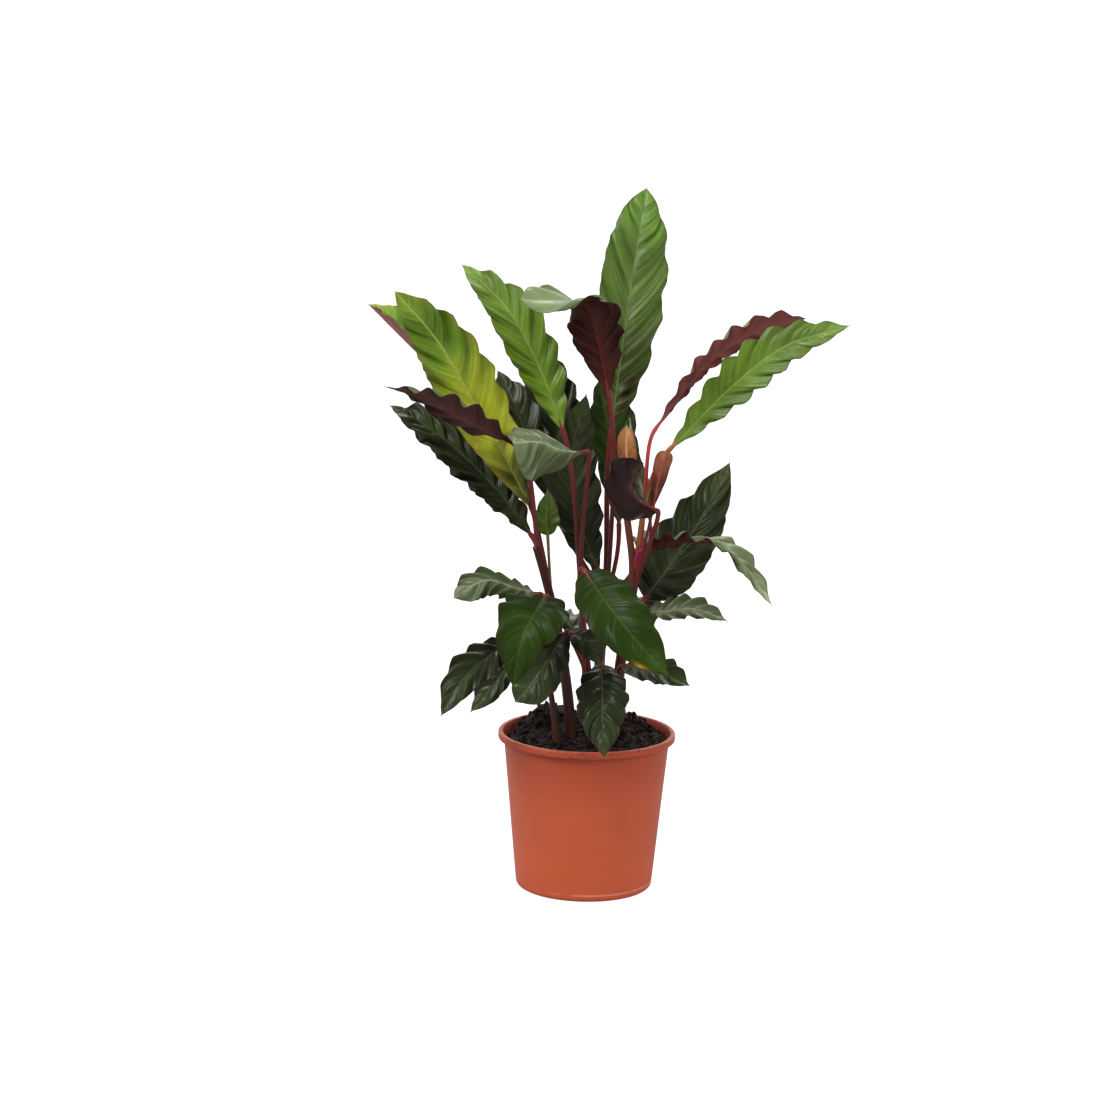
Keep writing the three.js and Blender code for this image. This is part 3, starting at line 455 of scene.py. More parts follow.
def veins_and_folds(root, length, half, relief, shift, rng):
    """The number of veins up to each point, the broad folds, and how far both raise the blade."""
    phase = root * length / VEIN_STEP
    phase = (phase + 0.22 * np.sin(1.7 * phase + shift[4])
             + 0.11 * SIGN * np.sin(2.9 * phase + shift[5]) + 0.25 * SIGN)
    strip = np.floor(phase).astype(int) % STRIPS
    bulge = rng.uniform(LEAST_BULGE, 1, (2, STRIPS))[(SIGN > 0).astype(int), strip]
    pleat = bulge * (np.abs(np.sin(np.pi * phase)) ** 0.8 + 0.3 * np.sin(2 * np.pi * phase))
    broad = root * length / FOLD_STEP + 0.3 * SIGN
    broad = broad + 0.25 * np.sin(1.9 * broad + shift[5]) + 0.12 * np.sin(4.3 * broad + shift[4] + SIGN)
    billow = np.sin(2 * np.pi * broad + 0.7 * np.sin(2 * np.pi * broad))
    billow = billow + 0.35 * np.sin(5.1 * broad + shift[6])
    depth = 0.75 + 0.4 * np.sin(2.3 * broad + shift[7] + SIGN)
    reach = relief * np.clip(SIZE / 0.16, 0, 1) * (1 - 0.8 * SIZE**2) * np.minimum(1, half / 16)
    folds = FOLD_RELIEF * depth * billow * np.clip(SIZE / 0.35, 0, 1)
    return phase, billow, (VEIN_RELIEF * pleat + folds) * reach


def skins(grid, up, t, far):
    """The top face and the underside, on either side of the blade's middle."""
    normal = unit(np.cross(np.gradient(grid, axis=1), np.gradient(grid, axis=0)))
    normal *= np.sign((normal * up).sum(-1, keepdims=True))
    thick = mix(HALF_THICKNESS, EDGE_HALF_THICKNESS, SIZE**3) * np.ones_like(t)
    ridge = RIB_HEIGHT * (1 - 0.8 * t) * bell(far, RIB_WIDTH)
    groove = GROOVE_DEPTH * (1 - 0.6 * t) * bell(far, GROOVE_WIDTH)
    return grid + normal * (thick - groove)[..., None], grid - normal * (thick + ridge)[..., None]


def shell_faces(rows, columns):
    """The faces of two sheets of points, the second under the first, and of the rim between them."""
    index = np.arange(rows * columns).reshape(rows, columns)
    near, far = index[:-1], index[1:]
    a, b, c, d = near[:, :-1].ravel(), near[:, 1:].ravel(), far[:, 1:].ravel(), far[:, :-1].ravel()
    under = rows * columns
    faces = np.concatenate([np.stack([a, b, c, d], 1), np.stack([a, d, c, b], 1) + under]).tolist()
    rim = np.concatenate([index[0], index[1:, -1], index[-1, -2::-1], index[-2:0:-1, 0]]).tolist()
    for k, following in zip(rim, rim[1:] + rim[:1]):
        faces.append([following, k, k + under, following + under])
    return faces


def blade_piece(name, blade, material, rng):
    length = length_of(blade.rib)
    rows = int(np.clip(length / ROW_STEP, FEWEST_ROWS, MOST_ROWS))
    shift = rng.uniform(0, 2 * np.pi, 8)
    root = np.linspace(0, 1, rows + 1)[:, None]  # where each row leaves the midrib
    lean = min(VEIN_LEAN * blade.half / length, MOST_LEAN)
    meets = root + lean * np.sin(np.pi * root)  # where each row meets the margin
    t = root + (meets - root) * (0.75 * SIZE + 0.25 * SIZE**3)
    t = FIT_GAP / length + t * (1 - FIT_GAP / length)
    centre, up, side = blade_frames(blade, t)
    half = half_widths(blade, t, length)
    lift, widening = edge_waves(blade, t, meets, half, shift)
    phase, billow, quilt = veins_and_folds(root, length, half, blade.relief, shift, rng)
    fold = math.radians(blade.fold)
    arch = ARCH * half * np.sin(np.pi * SIZE) * min(1, blade.half / FULL_ARCH_HALF)
    rise = SIZE * half * math.sin(fold) + lift + arch + quilt
    grid = centre + side * (ASIDE * widening * half * math.cos(fold))[..., None] + up * rise[..., None]
    far = SIZE * half  # millimetres from the midrib
    top, bottom = skins(grid, up, t, far)
    # the colours hold painted sheen and shade along the veins and the broad folds
    colour = paint_blade(name, blade, t, far, phase, billow * blade.relief, rng)
    points = np.concatenate([top.reshape(-1, 3), bottom.reshape(-1, 3)])
    piece = new_mesh(name + "_leaf", points, shell_faces(*t.shape), SLOTS[name], material)
    point_colour(piece, "tone", colour)
    point_number(piece, "vein", np.tile(phase.ravel(), 2))
    point_number(piece, "under", np.repeat([0, 1], t.size))
    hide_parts(name)


def paint_blade(name, blade, t, far, phase, billow, rng):
    """The colour of each point of the top face, then of the underside, with painted sheen and shade along
    the veins and folds.
    """
    base, middle, tip, rib_and_sheen_tone, margin = [srgb(*c) for c in TOPS[blade.colour]]
    turn = TURNS.get(blade.colour, USUAL_TURNS)
    t, phase, far, billow = t[..., None], phase[..., None], far[..., None], billow[..., None]
    size = SIZE[..., None] * np.ones_like(t)
    shift = rng.uniform(0, 2 * np.pi, 4)
    wander = t + 0.03 * np.sin(2.1 * phase + shift[1]) + 0.05 * (size - 0.5)
    top = mix(base, middle, passed(wander, turn[0], turn[1]))
    top = mix(top, tip, passed(wander, turn[2], turn[3]))
    patch = 0.5 + 0.5 * np.sin(0.7 * phase + shift[0] + 2 * size)
    nearest = np.round(phase).astype(int) % STRIPS
    strength = rng.uniform(0, 1, STRIPS)[nearest] ** 1.5
    off = phase - np.round(phase)
    # painted sheen: a paler streak along one flank of each vein, where the raised strip catches the light
    sheen_and_vein_streak = bell(off - 0.2, 0.12) * strength
    # painted shade: the top face is darker in the crease at each vein
    crease_shade = bell(off, 0.11) * np.roll(strength, 5)
    top = mix(top, rib_and_sheen_tone, 0.6 * sheen_and_vein_streak * (1 - size) ** 0.7)
    top = top * (1 - 0.4 * crease_shade * (1 - 0.6 * size))
    top = mix(top, rib_and_sheen_tone, 0.25 * bell(far, 5) * (0.3 + 0.7 * patch))
    top = mix(top, margin, np.clip(size - 0.6, 0, 1) * 1.4 * (0.2 + 0.8 * patch))
    # painted light and shade: lighter on the crests of the broad folds and darker in their troughs; the
    # patches are the leaf's own uneven tone
    top = top * (1 + 0.2 * np.clip(billow, -1, 1) * (1 - 0.4 * size)) * (0.86 + 0.28 * patch)
    top = mix(top, rib_and_sheen_tone, 0.85 * bell(far, 0.75))
    top = mix(top, UNDERSIDE, 0.5 * passed(size, 0.96, 1))
    if blade.withered:
        share, side = blade.withered
        aside = (ASIDE[..., None] * side).clip(0, 1)
        top = mix(top, WITHERED_TONE, bell(t - share, 0.04) * passed(aside, 0.72, 0.92))
    under = srgb(*blade.under) if blade.under else UNDERSIDE
    edge = under * 0.65 if blade.under else UNDERSIDE_EDGE
    low = mix(under, edge, size**2 * (0.3 + 0.7 * patch))
    # painted shade: the underside is darker and lighter with the same folds
    low = low * (1 - 0.15 * np.clip(billow, -1, 1))
    # the underside's own darker veins, along the same streaks
    low = mix(low, edge, 0.35 * sheen_and_vein_streak)
    low = mix(low, np.maximum(UNDERSIDE_RIB, under * 1.2), 0.6 * bell(far, 1))
    if name.startswith("sheath"):
        low = top * 0.9
    light = rng.uniform(0.94, 1.06) * blade.shade
    return np.concatenate([top.reshape(-1, 3), low.reshape(-1, 3)]) * light


# ---- shoots ----

STALK_SIDES = 14
CORE_SIDES = 18
STALK_STEP = 3.0  # millimetres between the rings of a stalk
SHOOT_LENGTH = 150  # about the millimetres of the part of a shoot that its stalks run beside
CORE_SHARE = 0.85  # of a shoot's radius
STALK_ASIDE = 0.45  # how far beside the shoot's middle each stalk runs, in radii of the shoot
STALK_SHARE = 0.58  # how thick it is there
STALK_APART = 0.6  # how much the stalks of a shoot are turned away from each other
SWELLING = 0.16  # how much thicker a stalk is under its blade
SWELLING_LENGTH = 9
JOIN_LENGTH = 14.0  # millimetres that a stalk runs on under its blade as the foot of the midrib
JOIN_DROP = 0.8
JOIN_TIP_RADIUS = 0.7
CORE_FOOT_HEIGHT = 40  # how far the brown of the foot reaches up the core, and up a stalk
STALK_FOOT_HEIGHT = 34


def ring_faces(rings):
    """The faces between each ring of point numbers and the next one. A ring may be a single point."""
    faces = []
    for low, high in zip(rings, rings[1:]):
        for k in range(max(len(low), len(high))):
            a, b = low[k % len(low)], low[(k + 1) % len(low)]
            d, c = high[k % len(high)], high[(k + 1) % len(high)]
            faces.append(list(dict.fromkeys([a, b, c, d])))
    return faces


def tube(centres, radii, sides):
    """A closed round bar along many points: its points and faces."""
    centres = np.asarray(centres, float)
    along = unit(np.gradient(centres, axis=0))
    normal = np.array([1.0, 0, 0])
    frames = []
    for tangent in along:
        normal = normal - tangent * normal.dot(tangent)
        normal /= np.linalg.norm(normal)
        frames.append(normal)
    normals = np.array(frames)
    binormals = np.cross(along, normals)
    angle = np.linspace(0, 2 * np.pi, sides, endpoint=False)[None, :, None]
    ring = normals[:, None] * np.cos(angle) + binormals[:, None] * np.sin(angle)
    points = centres[:, None] + ring * np.asarray(radii)[:, None, None]
    points = np.concatenate([points.reshape(-1, 3), centres[:1], centres[-1:]])
    start, end = len(points) - 2, len(points) - 1
    rings = [list(range(low, low + sides)) for low in range(0, start, sides)]
    return points, ring_faces([[start], *rings, [end]])


def tube_tones(colours, sides):
    """The colour of each point of a tube, from one for each of its rings."""
    return np.concatenate([np.repeat(colours, sides, axis=0), colours[:1], colours[-1:]])


def joined(parts):
    points, faces = [], []
    count = 0
    for p, f in parts:
        points.append(p)
        faces.extend([[i + count for i in face] for face in f])
        count += len(p)
    return np.concatenate(points), faces


def stalk_rings(blade, turn):
    """A leaf's stalk, up beside the core, off to its blade and on under it: its centres and radii."""
    foot_radius, top_radius = SHOOTS[blade.shoot]["radius"]
    leave = blade.stalk[0]
    radius = blade.stalk_radius or (STALK_RADIUS if blade.half > SLIM_BELOW else SLIM_STALK_RADIUS)
    low_t = np.linspace(0, leave, max(4, int(leave * SHOOT_LENGTH / STALK_STEP)), endpoint=False)
    low, low_along = shoot_line(blade.shoot, low_t)
    curve, _ = stalk_line(blade, np.linspace(0, 1, 100))
    length = line_length(curve)
    high_t = np.linspace(0, 1, max(8, int(length / STALK_STEP)))
    high, _ = stalk_line(blade, high_t)
    heading = curve[60] - curve[0]  # towards the blade
    heading = heading - low_along[-1] * heading.dot(low_along[-1])
    heading = unit(heading) + STALK_APART * np.array([math.cos(turn), math.sin(turn), 0])
    heading = unit(heading - low_along[-1] * heading.dot(low_along[-1]))
    wide_low = mix(foot_radius, top_radius, low_t)
    wide_top = mix(foot_radius, top_radius, leave)
    fade = np.linspace(1, 0, len(high))[:, None] ** 3
    taper = mix(max(wide_top * STALK_SHARE, radius * 1.1), radius, np.clip(high_t * 2.5, 0, 1))
    taper = taper * (1 + SWELLING * bell((high_t - 1) * length, SWELLING_LENGTH))
    join_t = np.linspace(0, JOIN_LENGTH / length_of(blade.rib), 6)[1:]
    join, join_along = through_four(blade.rib, join_t)
    up = unit(np.array(blade.look[0], float))
    up = unit(up - join_along * (join_along @ up)[:, None])
    share = join_t / join_t[-1]
    centres = [low + heading * (wide_low * STALK_ASIDE)[:, None],
               high + heading * wide_top * STALK_ASIDE * fade,
               join - up * (JOIN_DROP * share)[:, None]]
    radii = [wide_low * STALK_SHARE, taper, mix(radius, JOIN_TIP_RADIUS, share**0.7)]
    return np.concatenate(centres), np.concatenate(radii)


def stalk_tones(blade, heights, rng):
    dark = STALK_DARK * rng.uniform(0.75, 1.3)
    upper = STALK_TOP * rng.uniform(0.8, 1.1)
    if blade.stalk_tone:
        upper = srgb(*blade.stalk_tone)
    share = np.linspace(0, 1, len(heights))[:, None]
    colour = mix(dark, upper, np.clip(share * 2.3 - 0.75, 0, 1))
    soil_share = passed(heights, SOIL_EDGE_HEIGHT, SOIL_EDGE_HEIGHT + STALK_FOOT_HEIGHT)[:, None]
    return mix(STALK_FOOT * rng.uniform(0.8, 1.2), colour, soil_share)


def shoot_piece(name, material, rng):
    """One shoot: a core, and each leaf's stalk, which runs up beside the core and then leaves it."""
    t = np.linspace(0, 1, 60)
    centres, _ = shoot_line(name, t)
    soil_share = passed(centres[:, 2], SOIL_EDGE_HEIGHT, SOIL_EDGE_HEIGHT + CORE_FOOT_HEIGHT)[:, None]
    parts = [tube(centres, mix(*SHOOTS[name]["radius"], t) * CORE_SHARE, CORE_SIDES)]
    tones = [tube_tones(mix(STALK_FOOT, STALK_DARK, soil_share), CORE_SIDES)]
    own = [blade for blade in BLADES.values() if blade.shoot == name]
    for k, blade in enumerate(own):
        centres, radii = stalk_rings(blade, 2 * np.pi * k / len(own))
        parts.append(tube(centres, radii, STALK_SIDES))
        tones.append(tube_tones(stalk_tones(blade, centres[:, 2], rng), STALK_SIDES))
    points, faces = joined(parts)
    piece = new_mesh("shoot_" + name + "_stalks", points, faces, "stalk", material)
    point_colour(piece, "tone", np.concatenate(tones))
    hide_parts("shoot_" + name)


# ---- pot ----

LIP_FOOT_ROUND = 0.9
LIP_INSIDE_ROUND = 1.2
CREASE = 40  # degrees: sharper edges of the pot aren't smoothed


def wall_radius(height):
    return mix(BASE_RADIUS, WALL_TOP_RADIUS, height / (POT_HEIGHT - LIP_HEIGHT))


def arc(cx, cz, radius, start, end, steps):
    return [(cx + radius * math.cos(math.radians(a)), cz + radius * math.sin(math.radians(a)))
            for a in np.linspace(start, end, steps)]


def pot_profile():
    """The pot's section from the axis under the floor, up the outside, over the lip and down the inside."""
    lip_foot = POT_HEIGHT - LIP_HEIGHT
    flat = BASE_RADIUS - BASE_ROUND
    profile = [(0, 0)] + [(x, 0) for x in np.linspace(8, flat, 12)]
    for w in np.linspace(0, 1, 7)[1:]:
        x = (1 - w) ** 2 * flat + 2 * w * (1 - w) * BASE_RADIUS + w**2 * wall_radius(BASE_ROUND)
        profile.append((x, w**2 * BASE_ROUND))
    profile += [(wall_radius(h), h) for h in np.linspace(BASE_ROUND + 4, lip_foot - 1.2, 40)]
    profile += [(WALL_TOP_RADIUS + 0.3, lip_foot - 0.4), (WALL_TOP_RADIUS + 1.0, lip_foot)]
    profile += arc(RIM_RADIUS - LIP_FOOT_ROUND, lip_foot + LIP_FOOT_ROUND, LIP_FOOT_ROUND, -90, 0, 5)
    profile += arc(RIM_RADIUS - LIP_ROUND, POT_HEIGHT - LIP_ROUND, LIP_ROUND, 0, 90, 8)
    profile += arc(RIM_RADIUS - LIP_WIDTH + LIP_INSIDE_ROUND, POT_HEIGHT - LIP_INSIDE_ROUND,
                   LIP_INSIDE_ROUND, 90, 170, 6)
    profile += [(WALL_TOP_RADIUS - WALL, lip_foot)]
    profile += [(wall_radius(h) - WALL, h) for h in np.linspace(lip_foot - 4, FLOOR + 6, 24)]
    profile += [(wall_radius(FLOOR) - WALL - 2, FLOOR), (8, FLOOR), (0, FLOOR)]
    return profile


def turned(sides):
    """The ways out from the axis, evenly all round."""
    angles = [2 * math.pi * k / sides for k in range(sides)]
    return [(math.cos(angle), math.sin(angle)) for angle in angles]


def lathe(profile, sides):
    points, rings = [], []
    for x, z in profile:
        ring = [(x * across, x * forward, z) for across, forward in turned(sides)] if x else [(0, 0, z)]
        rings.append(list(range(len(points), len(points) + len(ring))))
        points += ring
    return points, ring_faces(rings)


def drain_drill():
    """The round bars that cut the drainage holes, as one object."""
    wide = DRAIN_RADIUS * MM
    drill = bmesh.new()
    for k in range(DRAIN_COUNT):
        angle = 2 * math.pi * (k + 0.5) / DRAIN_COUNT
        spot = Vector((DRAIN_CIRCLE * math.cos(angle), DRAIN_CIRCLE * math.sin(angle), FLOOR / 2)) * MM
        bmesh.ops.create_cone(drill, cap_ends=True, segments=32, radius1=wide, radius2=wide,
                              depth=4 * FLOOR * MM, matrix=Matrix.Translation(spot))
    mesh = bpy.data.meshes.new("drill")
    drill.to_mesh(mesh)
    drill.free()
    made = bpy.data.objects.new("drill", mesh)
    bpy.context.scene.collection.objects.link(made)
    return made


def pot_piece(material):
    piece = new_mesh("pot_moulded", *lathe(pot_profile(), POT_SIDES), "pot", material)
    drill = drain_drill()
    cut = piece.modifiers.new("drain", "BOOLEAN")
    cut.operation = "DIFFERENCE"
    cut.object = drill
    cut.solver = "EXACT"
    bpy.context.view_layer.update()
    made = bpy.data.meshes.new_from_object(piece.evaluated_get(bpy.context.evaluated_depsgraph_get()))
    piece.modifiers.clear()
    piece.data = made
    bpy.data.objects.remove(drill)
    made.polygons.foreach_set("use_smooth", [True] * len(made.polygons))
    made.set_sharp_from_angle(angle=math.radians(CREASE))
    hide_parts("pot")


# ---- soil ----

CLODS = ((16, 2.2), (7, 1.6), (3, 0.9))  # size and height
SOIL_RINGS = 56
SOIL_SIDES = 200
SOIL_FOOT_INSET = 2.2  # the peat stays clear of the corner of the pot's floor
PEAT_RADIUS = 77  # of its surface
WALL_BAND = 0.14  # the last share of the radius, over which the peat levels out towards the wall
CRUMBS = 1500
CRUMB_REACH = 75  # the crumbs lie within this distance of the pot's axis
SMALL_CRUMB = 0.5
CRUMB_RANGE = 2.4  # how much bigger the biggest are
FIBRES = 150
FIBRE_REACH = 72
FIBRE_LIMIT = 74  # a fibre ends where it comes this far from the axis
FIBRE_STEPS = 8


def soil_height(x, y):
    height = SOIL_EDGE_HEIGHT + SOIL_CROWN
    for (cx, cy), high, spread in SOIL_HEAPS:
        height += high * math.exp(-((x - cx) ** 2 + (y - cy) ** 2) / (2 * spread * spread))
    for high, (tx, ty), shift in SOIL_LUMPS:
        height += high * math.sin(tx * x + ty * y + shift)
    return height


def peat_height(x, y):
    """The level of the peat with its clods."""
    rough = 0.0
    for size, high in CLODS:
        rough += high * noise.noise(Vector((x / size, y / size, size)))
    return soil_height(x, y) + rough


def towards_wall(share):
    """0 over most of the peat, rising to 1 at the wall."""
    return max(0.0, (share - (1 - WALL_BAND)) / WALL_BAND) ** 2


def soil_piece(material):
    edge = wall_radius(SOIL_EDGE_HEIGHT) - WALL - FIT_GAP
    low = wall_radius(FLOOR) - WALL - SOIL_FOOT_INSET - FIT_GAP
    points = [(0, 0, peat_height(0, 0))]
    for ring in range(1, SOIL_RINGS + 1):
        share = (ring / SOIL_RINGS) ** 0.8
        for across, forward in turned(SOIL_SIDES):
            x, y = edge * share * across, edge * share * forward
            level = peat_height(x, y)
            level_at_wall = SOIL_EDGE_HEIGHT + 0.4 * (level - soil_height(x, y))
            points.append((x, y, mix(level, level_at_wall, towards_wall(share))))
    points += [(low * across, low * forward, FLOOR + FIT_GAP) for across, forward in turned(SOIL_SIDES)]
    points.append((0, 0, FLOOR + FIT_GAP))
    bottom = len(points) - 1
    last = bottom - SOIL_SIDES
    faces = []
    for k in range(SOIL_SIDES):
        k2 = (k + 1) % SOIL_SIDES
        faces.append([0, 1 + k, 1 + k2])
        for inner in range(1, last, SOIL_SIDES):
            outer = inner + SOIL_SIDES
            faces.append([inner + k, outer + k, outer + k2, inner + k2])
        faces.append([bottom, last + k2, last + k])
    piece = new_mesh("soil_peat", points, faces, "soil", material)
    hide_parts("soil")


def somewhere(reach, rng):
    """A place in the circle of this reach round the pot's axis, and its distance from the axis."""
    radius = reach * math.sqrt(rng.uniform(0, 1))
    angle = rng.uniform(0, 2 * np.pi)
    return radius * math.cos(angle), radius * math.sin(angle), radius


def crumb_piece(material, rng):
    """Loose crumbs and clods of peat on the surface, most of them small."""
    ball = bmesh.new()
    bmesh.ops.create_icosphere(ball, subdivisions=1, radius=1)
    shape = np.array([v.co[:] for v in ball.verts])
    sides = [[v.index for v in f.verts] for f in ball.faces]
    ball.free()
    parts = []
    for _ in range(CRUMBS):
        x, y, radius = somewhere(CRUMB_REACH, rng)
        size = SMALL_CRUMB + CRUMB_RANGE * rng.uniform(0, 1) ** 3
        scale = size * rng.uniform(0.6, 1.3, 3) * (1 + 0.25 * rng.normal(0, 1, (len(shape), 1)).clip(-1, 1))
        level = mix(peat_height(x, y), SOIL_EDGE_HEIGHT, towards_wall(radius / PEAT_RADIUS))
        parts.append((shape * scale + (x, y, level + 0.2 * size), sides))
    new_mesh("soil_crumbs", *joined(parts), "soil", material, smooth=False)


def fibre_piece(material, rng):
    """Thin fibres that lie loose on the peat."""
    parts = []
    for _ in range(FIBRES):
        x, y, _ = somewhere(FIBRE_REACH, rng)
        heading = rng.uniform(0, 2 * np.pi)
        bend = rng.normal(0, 0.12)
        step_length = rng.uniform(4, 16) / FIBRE_STEPS
        centres = []
        for step in range(FIBRE_STEPS):
            centres.append((x, y, peat_height(x, y) + 0.5 + 0.8 * math.sin(step * 0.6)))
            x += step_length * math.cos(heading)
            y += step_length * math.sin(heading)
            heading += bend
            if math.hypot(x, y) > FIBRE_LIMIT:
                break
        if len(centres) > 3:
            parts.append(tube(centres, np.full(len(centres), rng.uniform(0.12, 0.3)), 4))
    new_mesh("soil_fibres", *joined(parts), "soil", material)


# ---- materials ----

def material(name, roughness, specular=0.5):
    made = bpy.data.materials.new(name)
    made.use_nodes = True
    shader = made.node_tree.nodes["Principled BSDF"]
    shader.inputs["Roughness"].default_value = roughness
    shader.inputs["Specular IOR Level"].default_value = specular
    return made, made.node_tree, shader


def attribute(tree, name, output):
    made = tree.nodes.new("ShaderNodeAttribute")
    made.attribute_name = name
    return made.outputs[output]


def feed(tree, socket, value):
    """Gives a socket a number, a colour or another node's output."""
    if hasattr(value, "type"):
        tree.links.new(value, socket)
    elif np.ndim(value):
        socket.default_value = (*value, 1)
    else:
        socket.default_value = value


def math_node(tree, operation, a, b=None):
    made = tree.nodes.new("ShaderNodeMath")
    made.operation = operation
    feed(tree, made.inputs[0], a)
    if b is not None:
        feed(tree, made.inputs[1], b)
    return made.outputs[0]


def scaled(tree, colour, factor):
    """A colour times a number that varies over the surface."""
    made = tree.nodes.new("ShaderNodeVectorMath")
    made.operation = "SCALE"
    tree.links.new(colour, made.inputs[0])
    tree.links.new(factor, made.inputs["Scale"])
    return made.outputs[0]


def noise_value(tree, scale, detail):
    made = tree.nodes.new("ShaderNodeTexNoise")
    made.inputs["Scale"].default_value = scale
    made.inputs["Detail"].default_value = detail
    coordinates = tree.nodes.new("ShaderNodeTexCoord").outputs["Object"]
    tree.links.new(coordinates, made.inputs["Vector"])
    return made.outputs["Fac"]


def ranged(tree, value, start=0, end=1, low=0, high=1):
    """The value, which runs from start to end, made to run from low to high."""
    made = tree.nodes.new("ShaderNodeMapRange")
    tree.links.new(value, made.inputs["Value"])
    for limit, number in zip(("From Min", "From Max", "To Min", "To Max"), (start, end, low, high)):
        made.inputs[limit].default_value = number
    return made.outputs["Result"]


def spread(tree, value, low, high):
    """The value, from 0 to 1, spread from low to high."""
    return ranged(tree, value, low=low, high=high)


def above(tree, value, limit, softness):
    """1 where the value is over the limit, 0 where it is under it."""
    return ranged(tree, value, limit - softness, limit + softness)


def blended(tree, share, first, second):
    made = tree.nodes.new("ShaderNodeMix")
    made.data_type = "RGBA"
    tree.links.new(share, made.inputs["Factor"])
    colours = [socket for socket in made.inputs if socket.type == "RGBA"]
    for socket, value in zip(colours, (first, second)):
        feed(tree, socket, value)
    return [socket for socket in made.outputs if socket.type == "RGBA"][0]


def ramp(tree, value, first, second, start=0, end=1):
    """The first colour up to the start, the second past the end."""
    made = tree.nodes.new("ShaderNodeValToRGB")
    low, high = made.color_ramp.elements
    low.color, high.color = (*first, 1), (*second, 1)
    low.position, high.position = start, end
    tree.links.new(value, made.inputs["Fac"])
    return made.outputs["Color"]


def bump(tree, shader, height, strength, distance=0.0002):
    made = tree.nodes.new("ShaderNodeBump")
    made.inputs["Strength"].default_value = strength
    made.inputs["Distance"].default_value = distance
    tree.links.new(height, made.inputs["Height"])
    tree.links.new(made.outputs["Normal"], shader.inputs["Normal"])


FINE_VEINS = 5  # between two main veins


def leaf_material(name, specular):
    """Glossy green above, velvety burgundy below, with fine parallel veins between the main ones."""
    made, tree, shader = material(name, 0.3, specular)
    tone = attribute(tree, "tone", "Color")
    vein = attribute(tree, "vein", "Fac")
    under = attribute(tree, "under", "Fac")
    fine = math_node(tree, "SINE", math_node(tree, "MULTIPLY", vein, 2 * math.pi * FINE_VEINS))
    mottle = spread(tree, noise_value(tree, 90, 4), 0.76, 1.24)
    shade = math_node(tree, "ADD", mottle, math_node(tree, "MULTIPLY", fine, 0.04))
    tree.links.new(scaled(tree, tone, shade), shader.inputs["Base Color"])
    velvet = math_node(tree, "MULTIPLY", under, 0.2)
    rough = math_node(tree, "ADD", spread(tree, noise_value(tree, 60, 2), 0.25, 0.38), velvet)
    tree.links.new(rough, shader.inputs["Roughness"])
    grain = math_node(tree, "MULTIPLY", noise_value(tree, 500, 2), 1.2)
    bump(tree, shader, math_node(tree, "ADD", fine, grain), 0.3)
    return made


def stalk_material():
    made, tree, shader = material("stalk", 0.36, 0.35)
    streaks = spread(tree, noise_value(tree, 260, 3), 0.7, 1.3)
    tree.links.new(scaled(tree, attribute(tree, "tone", "Color"), streaks), shader.inputs["Base Color"])
    bump(tree, shader, noise_value(tree, 900, 2), 0.2)
    return made


SCUFF_HEIGHT = 0.0068  # metres above the ground, where the wall begins
SCUFF_WIDTH = 0.0006
LIP_DIRT_FROM = 0.1445
PAINTED_SHADE_FROM = 0.118  # painted shade under the lip: the wall is a little darker and redder from here up to the lip
POT_MIDDLE = POT_HEIGHT / 2 * MM


def pot_material():
    """Moulded terracotta plastic, scuffed pale at the foot of the wall, with crumbs of dirt on the lip, and
    painted shade that darkens the wall towards the top and under the lip.
    """
    made, tree, shader = material("pot", 0.42, 0.4)
    place = tree.nodes.new("ShaderNodeSeparateXYZ")
    tree.links.new(tree.nodes.new("ShaderNodeTexCoord").outputs["Object"], place.inputs[0])
    height = place.outputs["Z"]
    cloud = above(tree, noise_value(tree, 22, 4), 0.5, 0.25)
    colour = blended(tree, cloud, srgb(176, 77, 46), srgb(183, 82, 50))
    # painted shade: the wall is lighter towards its foot and darker towards the top, under the plant
    colour = scaled(tree, colour, spread(tree, above(tree, height, POT_MIDDLE, POT_MIDDLE), 1.14, 0.93))
    # painted shade under the lip
    colour = blended(tree, above(tree, height, PAINTED_SHADE_FROM, 0.022), colour, srgb(165, 66, 37))
    off = math_node(tree, "DIVIDE", math_node(tree, "SUBTRACT", height, SCUFF_HEIGHT), SCUFF_WIDTH)
    ring = math_node(tree, "POWER", 0.5, math_node(tree, "MULTIPLY", off, off))
    scratch = math_node(tree, "MULTIPLY", above(tree, noise_value(tree, 45, 2), 0.5, 0.05),
                        spread(tree, noise_value(tree, 300, 2), 0.1, 1))
    colour = blended(tree, math_node(tree, "MULTIPLY", ring, scratch), colour, srgb(222, 170, 146))
    dirt = math_node(tree, "MULTIPLY", above(tree, height, LIP_DIRT_FROM, 0.001),
                     above(tree, noise_value(tree, 420, 2), 0.66, 0.02))
    colour = blended(tree, dirt, colour, srgb(46, 30, 24))
    tree.links.new(colour, shader.inputs["Base Color"])
    tree.links.new(spread(tree, noise_value(tree, 45, 4), 0.36, 0.48), shader.inputs["Roughness"])
    bump(tree, shader, noise_value(tree, 700, 3), 0.12)
    return made


def soil_material():
    made, tree, shader = material("soil", 0.75, 0.2)
    colour = ramp(tree, noise_value(tree, 260, 6), srgb(14, 10, 10), srgb(52, 38, 31), 0.4, 0.78)
    tree.links.new(colour, shader.inputs["Base Color"])
    bump(tree, shader, noise_value(tree, 900, 5), 0.6, 0.0006)
    return made


def fibre_material():
    made, tree, shader = material("fibre", 0.8)
    colour = ramp(tree, noise_value(tree, 60, 2), srgb(50, 34, 26), srgb(120, 92, 66))
    tree.links.new(colour, shader.inputs["Base Color"])
    return made


# ---- the plant in its pot ----

